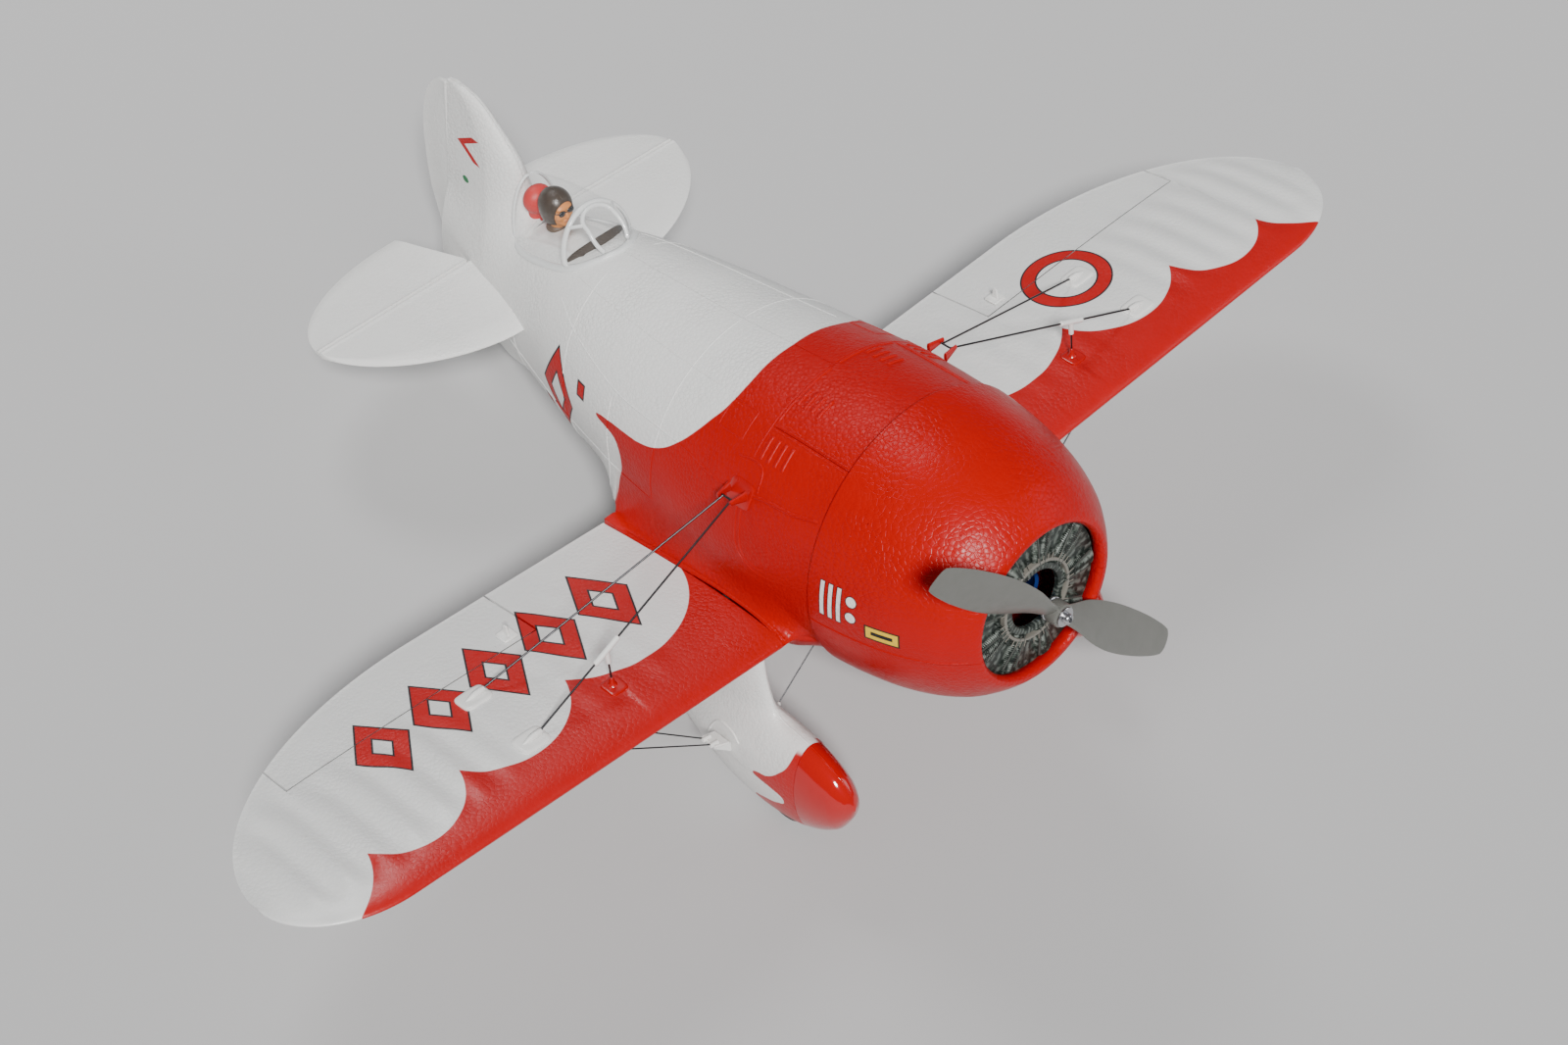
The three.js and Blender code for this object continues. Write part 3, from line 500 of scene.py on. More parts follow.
def slope_of(field, points):
    """The field's slope at each point, from a short step either way."""
    step = 0.25
    return np.stack([
        (field(points + step * np.eye(3)[i]) - field(points - step * np.eye(3)[i])) / (2 * step) for i in range(3)
    ], axis=1)


def unit(vectors):
    return vectors / np.maximum(np.linalg.norm(vectors, axis=-1), 1e-9)[..., None]


SETTLE_ROUNDS = 6


def settled(shape, field):
    """The points moved on to the surface where `field` is zero."""
    points, faces = shape
    for _ in range(SETTLE_ROUNDS):
        value = field(points)
        slope = slope_of(field, points)
        steep = np.maximum((slope ** 2).sum(axis=1), 0.05)
        move = -(value / steep)[:, None] * slope
        length = np.linalg.norm(move, axis=1)[:, None]
        points = points + move * np.minimum(1, 4 / np.maximum(length, 1e-9))
    return points, faces


def melted(seeds, field, voxel):
    """Closed shapes joined into one smooth skin."""
    return settled(modified(join(*seeds), "REMESH", mode="VOXEL", voxel_size=voxel), field)


def blend_least(a, b, reach):
    share = np.clip(0.5 + 0.5 * (b - a) / reach, 0, 1)
    return b * (1 - share) + a * share - reach * share * (1 - share)


# ---------------------------------------------------------------- pieces
SHARP_ANGLE = 38


def piece(name, body, layers, nodes=()):
    """A finished piece. `layers` is a list of (shape, paint); `nodes` are the CAD nodes it stands for."""
    points, faces = join(*[shape for shape, _ in layers])
    mesh = bpy.data.meshes.new(name)
    mesh.from_pydata(to_row(points).tolist(), [], faces)
    index = [i for i, (shape, _) in enumerate(layers) for _ in shape[1]]
    mesh.polygons.foreach_set("material_index", index)
    for _, paint in layers:
        mesh.materials.append(paint.material)
    bm = bmesh.new()
    bm.from_mesh(mesh)
    bmesh.ops.remove_doubles(bm, verts=bm.verts, dist=2e-6)
    bmesh.ops.dissolve_degenerate(bm, edges=bm.edges, dist=1e-6)
    bmesh.ops.recalc_face_normals(bm, faces=bm.faces)
    bm.to_mesh(mesh)
    bm.free()
    mesh.shade_smooth()
    mesh.set_sharp_from_angle(angle=math.radians(SHARP_ANGLE))
    obj = bpy.data.objects.new(name, mesh)
    bpy.context.scene.collection.objects.link(obj)
    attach(obj, body)
    if nodes:
        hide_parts(*nodes)
    return obj


SIDES = {"left": lambda shape: shape, "right": mirrored}


def pair(name, body, layers, nodes=()):
    """The same piece on both sides. A {} in a name stands for the side."""
    for side, turn in SIDES.items():
        own = [(turn(shape), paint) for shape, paint in layers]
        names = [node.format(side) for node in nodes]
        piece(name.format(side), body.format(side), own, names)


# ---------------------------------------------------------------- fuselage form
# Sections of the barrel: [y, half width, top, bottom]. Every section is an ellipse.
BARREL = through([
    [-66, 107.5, 138, -75],
    [0, 112, 137, -84],
    [60, 108.5, 132.5, -80],
    [120, 101, 128.5, -68],
    [180, 90, 127, -57],
    [240, 76, 124.5, -51],
    [300, 59, 115, -43],
    [360, 42, 99, -29],
    [420, 24, 82, -12],
    [458, 11, 71, 0],
])
# The fin's level sections: [z, leading edge y, half thickness].
FIN = through([[62, 330, 22], [112, 343, 18], [150, 349, 12], [175, 368, 8], [192, 386, 5], [198.5, 404, 3]])
FIN_TOP = 198.5
COWL_BACK = -66
WING_ROOT = 118.0
WING_TIP = 520.6
STUB_FRONT, STUB_BACK = -46.0, 147.0
# Degrees round the fuselage are measured about this height.
ROUND_Z = 30
HATCH = {"half": 60.0, "back": 8.0, "low": 80.0}
COCKPIT = {"half": 20.0, "front": 258.0, "back": 330.0, "floor": 92.0}
POST_LEAN = -29 / 176
GAP = 0.3


def post_y(z):
    """The rudder post, at a height."""
    return 452 + POST_LEAN * (z - 20)


def barrel_at(y):
    """Half width, half height and middle height of the barrel."""
    wide, top, bottom = BARREL(y).T
    return wide, (top - bottom) / 2, (top + bottom) / 2


def barrel_height(x, y):
    wide, tall, middle = barrel_at(y)
    return middle + tall * np.sqrt(np.maximum(0, 1 - (x / wide) ** 2))


def crown(x, y):
    """The barrel's height at one place."""
    return float(barrel_height(x, np.array([y]))[0])


def ellipse_distance(u, v, a, b):
    """Roughly how far (u, v) is outside the ellipse with half axes a and b."""
    reach = np.sqrt((u / a) ** 2 + (v / b) ** 2) + 1e-6
    slope = np.sqrt((u / a ** 2) ** 2 + (v / b ** 2) ** 2) / reach + 1e-6
    return (reach - 1) / slope


def barrel_field(p):
    wide, tall, middle = barrel_at(p[:, 1])
    return ellipse_distance(p[:, 0], p[:, 2] - middle, wide, tall)


def fin_field(p):
    x, y, z = np.abs(p[:, 0]), p[:, 1], p[:, 2]
    front, half = FIN(np.maximum(z, 62)).T
    back = post_y(z) + 8
    thick = front + 0.32 * (back - front)
    nose = ellipse_distance(y - thick, x, thick - front, half)
    side = x - half * (1 - 0.62 * (y - thick) / (back - thick))
    return np.maximum(np.where(y < thick, nose, side), z - FIN_TOP)


def wing_curve(s):
    """Half thickness at a share of the chord, for a full thickness of 1."""
    s = np.clip(s, 0, 1)
    return 5 * (0.2969 * np.sqrt(s) - 0.126 * s - 0.3516 * s ** 2 + 0.2843 * s ** 3 - 0.1036 * s ** 4)


def arc(x, start, reach):
    return np.sqrt(np.maximum(0, 1 - (np.maximum(0, x - start) / reach) ** 2))


def wing_front(x):
    return 16 - 62 * arc(x, 440, 81)


def wing_back(x):
    return 16 + 131 * arc(x, 300, 221)


def wing_thickness(x):
    return 20 * np.maximum(0.16, arc(x, 300, 226) ** 1.3)


def chord_z(x):
    return -21 + 0.06 * x


def stub_field(p):
    y, z = p[:, 1], p[:, 2] - chord_z(WING_ROOT)
    front, back = STUB_FRONT, STUB_BACK
    thick = front + 0.3 * (back - front)
    nose = ellipse_distance(y - thick, z, thick - front, 10)
    over = np.maximum(0, y - back)
    rear = np.abs(z) - 20 * wing_curve((y - front) / (back - front))
    return np.where(y < thick, nose, np.hypot(np.maximum(rear, 0), over) + np.minimum(rear, 0) * (over == 0))


def hull_field(p):
    near_root = ease((WING_ROOT - np.abs(p[:, 0])) / 26)
    behind_cowl = 0.12 + 0.88 * ease((p[:, 1] + 64) / 42)
    with_fin = blend_least(barrel_field(p), fin_field(p), 30)
    return blend_least(with_fin, stub_field(p), (20 + 34 * near_root) * behind_cowl)


def barrel_seed():
    ys = np.linspace(-82, 474, 90)
    wide, tall, middle = barrel_at(ys)
    turns = round_turns(96)
    rings = [[[w * math.sin(a), y, m + t * math.cos(a)] for a in turns]
             for y, w, t, m in zip(ys, wide, tall, middle)]
    return loft(rings)


def fin_seed():
    rings = []
    for z in np.linspace(40, FIN_TOP, 40):
        front, half = FIN(max(z, 62))[0]
        back = post_y(z) + 14
        shares = np.linspace(0, 1, 24)
        ys = front + (back - front) * shares
        halves = half * np.minimum(1, np.sqrt(shares / 0.32 + 0.01)) * (1 - 0.5 * shares)
        left = [[h, y, z] for h, y in zip(halves, ys)]
        rings.append(left + [[-x, y, level] for x, y, level in left[::-1]])
    return loft(rings)


def stub_seed():
    rings = []
    for x in np.linspace(-126, 126, 9):
        shares = edge_shares(40)
        half = np.maximum(0.6, 20 * wing_curve(shares)) + 6 * ease((118 - abs(x)) / 40)
        ys = STUB_FRONT + (STUB_BACK - STUB_FRONT) * shares
        z = chord_z(WING_ROOT)
        rings.append([[x, y, z + h] for y, h in zip(ys, half)] + [[x, y, z - h] for y, h in zip(ys, half)][::-1])
    return loft(rings)


def hull_parts():
    """The moulded fuselage: left and right halves and the hatch, as open skins."""
    skin = melted([barrel_seed(), fin_seed(), stub_seed()], hull_field, 2.2)
    for side in (-1, 1):
        skin = sliced(skin, (side * (WING_ROOT - GAP), 0, 0), (side, 0, 0))
        skin = sliced(skin, (side * GAP / 2, 0, 0), (1, 0, 0), clear=False)
        for x in (HATCH["half"], HATCH["half"] - GAP, COCKPIT["half"]):
            skin = sliced(skin, (side * x, 0, 0), (1, 0, 0), clear=False)
    skin = sliced(skin, (0, COWL_BACK + GAP, 0), (0, -1, 0))
    for y in (HATCH["back"], HATCH["back"] - GAP, COCKPIT["front"], COCKPIT["back"]):
        skin = sliced(skin, (0, y, 0), (0, 1, 0), clear=False)
    skin = sliced(skin, (0, post_y(0) - 0.6, 0), (0, 1, -POST_LEAN))
    in_hatch = lambda m, g: ((m[:, 2] > HATCH["low"]) & (np.abs(m[:, 0]) < HATCH["half"] - g)
                             & (m[:, 1] < HATCH["back"] - g))
    well = lambda m: ((m[:, 2] > COCKPIT["floor"]) & (np.abs(m[:, 0]) < COCKPIT["half"])
                      & (m[:, 1] > COCKPIT["front"]) & (m[:, 1] < COCKPIT["back"]))
    foam = lambda shape: modified(shape, "SOLIDIFY", thickness=6.0, offset=-1.0)
    halves = {}
    for side, sign in (("left", 1), ("right", -1)):
        halves[side] = foam(part_of(
            skin, lambda m: (sign * m[:, 0] > GAP / 2) & ~in_hatch(m, 0) & ~well(m)))
    return halves, foam(part_of(skin, lambda m: in_hatch(m, GAP)))


# ---------------------------------------------------------------- cowl
# The cowl's wall, from its back edge over the lip and back inside: [radius, y].
COWL_OUTSIDE = [[108.4, -66], [109.7, -66.9], [109.8, -69.5], [109.2, -76], [107.5, -90], [103, -115], [95.5, -140],
                [86, -160], [77, -172], [69.5, -180]]
COWL_LIP = [[63.5, -184.5], [60, -183.5], [58.6, -179]]
COWL_INSIDE = [[63, -171], [76, -161], [92, -130], [100, -98], [102, -66]]
COWL_Z = AXIS_Z + 1.5
COWL_SPLIT = 20.0


def smooth_line(points, count):
    """A smooth curve through points, at even shares of its length."""
    points = np.array(points, float)
    along = np.concatenate([[0], np.cumsum(np.linalg.norm(np.diff(points, axis=0), axis=1))])
    curve = through(np.column_stack([along, points]))
    return curve(np.linspace(0, along[-1], count))


def cowl_wall(upper):
    profile = smooth_line(COWL_OUTSIDE + COWL_LIP + COWL_INSIDE, 110)
    edge = COWL_SPLIT + (0.2 if upper else -0.2) - COWL_Z
    rings = []
    for radius, y in profile:
        dip = math.asin(edge / radius)
        low, high = (dip, math.pi - dip) if upper else (math.pi - dip, 2 * math.pi + dip)
        turns = np.linspace(low, high, 121)
        rings.append(np.stack([radius * np.cos(turns), np.full(121, y), COWL_Z + radius * np.sin(turns)], axis=1))
    rings = np.array(rings)
    rows, count = rings.shape[:2]
    points, faces = loft(rings, loop=True, closed=False)
    for k in (0, count - 1):
        half = rows // 2
        for i in range(half):
            quad = [i * count + k, (i + 1) * count + k, (rows - 2 - i) * count + k, (rows - 1 - i) * count + k]
            if len(set(quad)) > 2:
                faces.append(list(dict.fromkeys(quad)))
    return points, faces


def cowl_ledge():
    """The fine ledge along the upper cowl's lower edge, on the left."""
    profile = smooth_line(COWL_OUTSIDE, 40)
    rise = COWL_SPLIT + 1.1 - COWL_Z
    path = np.array([[math.sqrt(r * r - rise * rise), y, rise + COWL_Z] for r, y in profile])
    normals = unit(path - [0, 0, COWL_Z] - np.outer(path[:, 1], [0, 1, 0]))
    return ribbon(path, normals, 1.7, 0.55)


# ---------------------------------------------------------------- wing
AILERON = {"inner": 231.0, "outer": 445.0, "hinge": 86.3}


def ribs(x, y, share):
    """The low ribs moulded into the outer wing; they fade out before the aileron."""
    spread = ease((x - 300) / 60) * ease((512 - x) / 30) + 0.35 * ease((x - 150) / 60) * ease((300 - x) / 40)
    window = ease((share - 0.1) / 0.15) * ease((0.93 - share) / 0.2)
    beside = ease((x - 222) / 8) * ease((453 - x) / 7)
    window = window * (1 - beside * ease((y - 52) / 30))
    return 0.95 * spread * window * np.sin(2 * math.pi * x / 27)


def wing_surface(x, y):
    """Upper and lower height of the wing at a place along and across it."""
    share = (y - wing_front(x)) / (wing_back(x) - wing_front(x))
    half = np.maximum(0.3, wing_thickness(x) * wing_curve(share))
    wave = ribs(x, y, share)
    return chord_z(x) + half + wave, chord_z(x) - half + wave * 0.6


def wing_ring(x, front, back, lean=0.0, count=40, scale=1.0):
    """One rib of the wing between two places along its chord. A hinge face leans back by `lean`."""
    shares = edge_shares(count)
    upper_y = front + (back - front) * shares
    depth = np.diff(wing_surface(x, np.array([front]))[::-1], axis=0)[0][0]
    lower_y = front + lean * depth + (back - front - lean * depth) * shares
    top = wing_surface(x, upper_y)[0]
    under = wing_surface(x, lower_y)[1]
    middle = chord_z(x)
    upper = np.stack([np.full(count, x), upper_y, middle + (top - middle) * scale], axis=1)
    lower = np.stack([np.full(count, x), lower_y, middle + (under - middle) * scale], axis=1)
    return np.concatenate([upper, lower[::-1]])


def wing_panel():
    def rib(x, hinged=False, scale=1.0):
        return wing_ring(x, wing_front(x), AILERON["hinge"] - GAP if hinged else wing_back(x), scale=scale)

    inner, outer = AILERON["inner"] - 1.6, AILERON["outer"] + 1.6
    rings = [rib(x) for x in np.linspace(WING_ROOT, inner, 40)]
    rings += [rib(x, True) for x in np.linspace(inner + 0.05, outer, 80)]
    reach = WING_TIP - outer
    rings += [rib(outer + 0.05 + (reach - 0.05) * math.sin(t)) for t in np.linspace(0, math.pi / 2, 44)]
    rings += [rib(WING_TIP - 0.01 * k, scale=s) for k, s in ((1, 0.75), (0, 0.4))]
    return loft(rings)


def aileron_panel():
    """The aileron, set back from its hinge line so that it clears the wing at its limits."""
    start = AILERON["hinge"] + 2.5 * GAP
    xs = np.linspace(AILERON["inner"], AILERON["outer"], 90)
    return eased(loft([wing_ring(x, start, wing_back(x), lean=0.7, count=26) for x in xs]), 0.5, 1, angle=50)


# ---------------------------------------------------------------- tail
TAIL_Z = 55.0
TAIL_HINGE = 392.0


def tail_edge(x, depth, power):
    u = np.clip((x - 60) / 121, 0, 1)
    return depth * (1 - u ** power) ** (1 / power)


def tail_half(x, share, y):
    half = 4 * (1 - 0.45 * max(0, (x - 20) / 161))
    rounding = lambda part, reach: np.minimum(1, np.sqrt(np.clip(part, 0, 1) / reach))
    round_edges = rounding(share, 0.12) * rounding(1 - share, 0.05)
    taper = 1 - 0.55 * ease((share - 0.45) / 0.55)
    ridge = 0.55 * np.exp(-((np.abs(y - TAIL_HINGE) - 1.9) / 1.3) ** 2)
    return np.maximum(0.35, half * round_edges * taper) + ridge * (share < 0.97)


def tail_ring(x, moving, scale=1.0):
    count = 30
    lead = TAIL_HINGE - tail_edge(x, 97, 1.7)
    trail = TAIL_HINGE + tail_edge(x, 71, 2)
    front = max(lead, TAIL_HINGE + 0.4) if moving else lead
    back = trail if moving else min(trail, TAIL_HINGE - 0.4)
    shares = edge_shares(count)
    sides = []
    for sign in (1, -1):
        ys = front + (back - front) * shares
        half = tail_half(x, (ys - lead) / max(trail - lead, 1e-3), ys) * scale
        if moving:
            ys = np.maximum(ys, front + 0.6 * half * (1 - ease((ys - front) / 8)))
        sides.append(np.stack([np.full(count, x), ys, TAIL_Z + sign * half], axis=1))
    return np.concatenate([sides[0], sides[1][::-1]])


def tail_panel(moving):
    inner = 34.0 if moving else 12.0
    xs = list(np.linspace(inner, 120, 26))
    xs += [120 + 60.4 * math.sin(t) for t in np.linspace(0.06, math.pi / 2, 34)]
    shape = loft([tail_ring(x, moving) for x in xs] + [tail_ring(180.6, moving, scale=0.5)])
    if moving:
        shape = modified(shape, "WELD", merge_threshold=1e-4)
        shape = capped(sliced(shape, (33.5, 396, 0), (-74, 21.5, 0)))
    return shape


def capped(shape):
    """The shape with its open edges filled."""
    bm = to_bmesh(shape)
    bmesh.ops.remove_doubles(bm, verts=bm.verts, dist=1e-4)
    bmesh.ops.holes_fill(bm, edges=[e for e in bm.edges if e.is_boundary])
    return from_bmesh(bm)


RUDDER_EDGE = [[440, 17.4], [458, 18], [468.5, 27], [473, 50], [476, 80], [473, 117], [466, 150], [455, 175],
               [438, 192], [422, 196]]


def rudder_panel():
    outline = smooth_line(RUDDER_EDGE, 120)
    low, high = outline[:, 1].min() + 0.4, outline[:, 1].max() - 0.2
    back_at = lambda z: np.interp(z, outline[:, 1], outline[:, 0])
    levels = low + (high - low) * (1 - np.cos(np.linspace(0.12, math.pi - 0.1, 70))) / 2
    rings = []
    for z in levels:
        front, back = post_y(z) + 0.6, back_at(z)
        shares = edge_shares(26)
        half = 4.2 - 1.8 * ease((z - 110) / 80)
        taper = np.minimum(1, np.sqrt(shares / 0.05 + 0.02)) * (1 - 0.75 * ease(shares)) + 0.02
        ends = min(1, 0.25 + math.sqrt(max(0, min(z - low, high - z)) / 4))
        thick = half * taper * ends + 0.45 * np.exp(-(((back - front) * shares - 2.4) / 1.3) ** 2)
        ys = front + (back - front) * shares
        left = np.stack([thick, ys, np.full(26, z)], axis=1)
        rings.append(np.concatenate([left, (left * [-1, 1, 1])[::-1]]))
    return loft(rings)


# ---------------------------------------------------------------- raised detail on a skin
def on_skin(points, field):
    """Points moved on to a skin, and the skin's outward directions there."""
    points = settled((np.asarray(points, float), []), field)[0]
    return points, unit(slope_of(field, points))


def ribbon(path, normals, width, height, sink=0.5):
    """A low rounded strip along a path, tapered at both ends."""
    along = unit(np.gradient(path, axis=0))
    side = unit(np.cross(along, normals))
    turns = np.linspace(0, math.pi, 7)
    section = [(math.cos(t) * width / 2, math.sin(t) * height) for t in turns]
    section += [(-width / 2, -sink), (width / 2, -sink)]
    ends = np.ones(len(path))
    ends[0] = ends[-1] = 0.35
    rings = [[p + s * u + n * (v * e if v > 0 else v) for u, v in section]
             for p, s, n, e in zip(path, side, normals, ends)]
    return loft(rings)


def skin_line(field, path, width=1.1, height=0.4, count=60):
    path, normals = on_skin(smooth_line(path, count), field)
    return ribbon(path, normals, width, height)


def pad(field, centre, along, across, half_a, half_b, height):
    """A low plate with rounded corners lying on a skin."""
    power = 5
    along, across = np.asarray(along, float), np.asarray(across, float)
    turns = round_turns(56)
    bend = lambda v: np.sign(v) * np.abs(v) ** (2 / power)
    outline = bend(np.cos(turns))[:, None] * along * half_a + bend(np.sin(turns))[:, None] * across * half_b
    rings = []
    for reach, lift in ((0.03, 1), (0.4, 1), (0.75, 1), (0.93, 0.95), (0.985, 0.7), (1, 0.3), (1, -0.6)):
        points, normals = on_skin(np.asarray(centre) + outline * reach, field)
        rings.append(points + normals * height * lift)
    return loft(rings)


def barrel_spot(y, degrees):
    """A place on the plain barrel, `degrees` round from straight up, about ROUND_Z."""
    wide, tall, middle = barrel_at(y)
    angle = np.radians(degrees)
    s, c = np.sin(angle), np.cos(angle)
    off = ROUND_Z - middle
    a = (s / wide) ** 2 + (c / tall) ** 2
    b = 2 * c * off / tall ** 2
    reach = (-b + np.sqrt(b * b - 4 * a * ((off / tall) ** 2 - 1))) / (2 * a)
    return np.stack([reach * s, np.broadcast_to(y, np.shape(reach)), ROUND_Z + reach * c], axis=-1)


def barrel_path(rows, count=60):
    rows = smooth_line(rows, count)
    return barrel_spot(rows[:, 0], rows[:, 1])


def barrel_line(rows, width=1.1, height=0.4, count=60):
    path, normals = on_skin(barrel_path(rows, count), hull_field)
    return ribbon(path, normals, width, height)


LOUVRE_ROWS = (3.2, -3.8, -10.8, -17.8)


def louvres(low, high):
    return [barrel_line([[y, low], [y, (low + high) / 2], [y, high]], 3.0, 1.1, 16) for y in LOUVRE_ROWS]


def hull_relief():
    """Panel lines, louvres and ledges on the left half of the fuselage."""
    lines = [barrel_line([[y, low], [y, (low + high) / 2], [y, high]]) for y, low, high in (
        (102, 1, 92), (226, 14, 128), (160, 60, 120), (318, 62, 128), (9.4, 1, 47),
    )]
    lines += [barrel_line(rows, count=90) for rows in (
        [[-62, 54.8], [-40, 57.6], [4, 60.2], [31, 62.6], [68, 59.6], [106, 58.6], [160, 56.4], [222, 45],
         [254, 34]],
        [[62, 31], [140, 29], [222, 24], [252, 21]],
        [[102, 92], [160, 94], [226, 98], [318, 100], [400, 100]],
    )]
    lines.append(barrel_line([[4, 60.2], [-20, 58.4], [-40, 57.6], [-62, 55]], 2.6, 0.8))
    for shift in (0, 4.5):
        front = [[y + shift, degrees] for y, degrees in ((5, 62), (2, 72), (-2, 82))]
        side = [[y, degrees + shift / 2] for y, degrees in ((-10, 85), (-24, 86), (-44, 84), (-63, 81))]
        lines.append(barrel_line(front + side))
    corners = [[26, 32], [26, 44], [52, 44], [52, 32]]
    for (y0, d0), (y1, d1) in zip(corners, corners[1:] + corners[:1]):
        lines.append(barrel_line([[y0, d0], [(y0 + y1) / 2, (d0 + d1) / 2], [y1, d1]], 0.9, 0.35, 14))
    plate = [[22, 49], [6, 48], [-2, 49], [-5, 52], [-6, 58]]
    lines.append(barrel_line(plate, 1.6, 0.6, 30))
    lines += louvres(37, 46.5)
    root = [[115.6, y, chord_z(WING_ROOT) + 12 * wing_curve((y - STUB_FRONT) / (STUB_BACK - STUB_FRONT)) * 2]
            for y in (-44, -38, -20, 10, 50, 100, 146)]
    lines.append(skin_line(hull_field, root, 3.2, 1.0, 80))
    lip = [[61.6, y, crown(61.6, y)] for y in (7, -10, -30, -50, -64)]
    lines.append(skin_line(hull_field, lip, 1.6, 0.35, 40))
    return lines


def hatch_relief():
    """Louvres and the raised rim of the hatch, left half."""
    lip = [[58.2, y, crown(58.2, y)] for y in (6.8, -10, -30, -50, -64)]
    return louvres(14, 22.5) + [
        skin_line(hull_field, lip, 2.2, 0.7, 40),
        barrel_line([[6.9, 2], [6.9, 15], [6.9, 31]], 2.0, 0.8, 40),
    ]


# ---------------------------------------------------------------- nose
ENGINE_Z = AXIS_Z + 0.5


def engine_disc():
    """The dummy radial engine: a dark disc with nine low finned cylinders, a crankcase ring and a pale ring."""
    back = lathe([(23, -174.2), (59.5, -174.2), (59.5, -173), (23, -173)], loop=True)
    rim = lathe([(23, -174), (23, -176.4), (24, -177), (27.5, -177), (28.6, -176), (28.6, -174)], loop=True)
    dark, mid, pale = [back, rim], [], []
    for k in range(9):
        turn = 2 * math.pi * k / 9 + 0.2
        spokes = []
        levels = [25.5]
        for fin in range(21):
            start = 28.2 + 1.42 * fin
            levels += [start, start + 0.25, start + 0.75, start + 1.0]
        swell = lambda s: 6.4 + 1.4 * math.sin((s - 25) / 34 * math.pi)
        for i, s in enumerate(levels):
            proud = 1.0 if i % 4 in (2, 3) else 0.78
            spokes.append((swell(s) * proud, s))
        barrel = lathe(spokes, centre=(0, 0, 0), axis="Z", segments=36)
        mid.append(on_axis((barrel[0] * [1, 0.46, 1], barrel[1]), turn, -174.6, ENGINE_Z))
        for lean in (-0.13, 0.13):
            inner, outer = turn + lean * 0.5, turn + lean
            pushrod = rod([28 * math.sin(inner), -178.1, 28 * math.cos(inner)],
                          [55 * math.sin(outer), -176.6, 55 * math.cos(outer)], 0.75, 8)
            pale.append(on_axis(pushrod, z=ENGINE_Z))
        gap = turn + math.pi / 9
        bolt = rod([36 * math.sin(gap), -174, 36 * math.cos(gap)], [36 * math.sin(gap), -176.2, 36 * math.cos(gap)],
                   1.6, 10)
        dark.append(on_axis(bolt, z=ENGINE_Z))
    ring = [lathe([(29.9, -174.2), (29.9, -178.0), (30.2, -178.5), (31.9, -178.5), (32.3, -178.0), (32.3, -174.2)],
                  loop=True)]
    for k in range(45):
        if k % 5 == 4:
            continue
        turn = 2 * math.pi * (k + 0.5) / 45
        way = np.array([math.sin(turn), 0, math.cos(turn)])
        tick = rod([0, -178.3, 0] + 32 * way, [0, -178.3, 0] + 36.5 * way, 0.4, 6, 0.1)
        ring.append(on_axis(tick))
    return join(*dark), join(*mid), join(*pale), join(*ring)


def spun(points, turn):
    """Points turned about the propeller's direction."""
    c, s = math.cos(turn), math.sin(turn)
    return points @ np.array([[c, 0, -s], [0, 1, 0], [s, 0, c]])


def on_axis(shape, turn=0.0, y=0.0, z=AXIS_Z):
    """The shape turned about the propeller's direction and put on its axis."""
    return spun(shape[0], turn) + [0, y, z], shape[1]


def motor_mount():
    profile = [(93, -60), (93, -64), (92.5, -64.5), (37, -64.5), (34, -66), (30.5, -118), (29, -120.6),
               (27, -121), (4, -121), (4, -118), (25, -118), (27, -116), (30, -60)]
    shape = lathe(profile, loop=True)
    ribs = []
    screws = []
    for k in range(4):
        turn = math.pi / 4 + k * math.pi / 2
        rib = block([-1.5, -112, 29], [1.5, -63, 52], 0.8)
        ribs.append(on_axis(capped(sliced(rib, (0, -112, 33), (0, -19, 49))), turn))
        for reach, head, y in ((70, 3.2, -64.5), (12, 2.4, -121)):
            screws.append(lathe([(0.2, y - 1.9), (head * 0.45, y - 2), (head * 0.45, y - 1.2),
                                 (head * 0.8, y - 1.9), (head, y - 1.2), (head, y)],
                                centre=(reach * math.sin(turn), 0, AXIS_Z + reach * math.cos(turn)), segments=20))
    return join(shape, *ribs), join(*screws)


def motor():
    bell = lathe([(2.4, -165.5), (7, -165.5), (8, -164.4), (13.4, -163.6), (15.5, -165), (16.8, -164.2), (18, -162),
                  (18, -150), (17.6, -149.5), (17.6, -147), (18, -146.5), (18, -130), (17.4, -129), (15.8, -129),
                  (15.8, -161), (2.4, -161)], loop=True)
    shaft = lathe([(0.3, -181), (2.1, -181), (2.5, -180.4), (2.5, -130.4), (2.2, -130), (0.3, -130)], segments=32)
    studs = [
        lathe([(0.2, -166), (0.9, -166.6), (1.7, -166.4), (1.9, -165.6), (1.9, -163)],
              centre=(10.6 * math.sin(a), 0, AXIS_Z + 10.6 * math.cos(a)), segments=16)
        for a in (0.5, 2.6, 4.7)
    ]
    core = lathe([(4, -121.3), (16.4, -121.3), (17, -122), (17, -126.4), (16.4, -127), (9, -127), (9, -159),
                  (8, -160), (4, -160)], loop=True)
    teeth = []
    coils = []
    for k in range(12):
        tooth = block([-1.2, -157, 8.5], [1.2, -131, 14.6], 0.3)
        shoe = block([-3.1, -157, 13.6], [3.1, -131, 15.2], 0.4)
        coil = block([-2.6, -159.5, 9.4], [2.6, -128.5, 13.2], 1.6, 3)
        turn = 2 * math.pi * k / 12
        for shape, group in ((tooth, teeth), (shoe, teeth), (coil, coils)):
            group.append(on_axis(shape, turn))
    return bell, join(shaft, *studs), join(core, *teeth), join(*coils)


def by_prop(rows):
    """A turned profile given from the propeller's plane."""
    return [(radius, PROP_Y + y) for radius, y in rows]


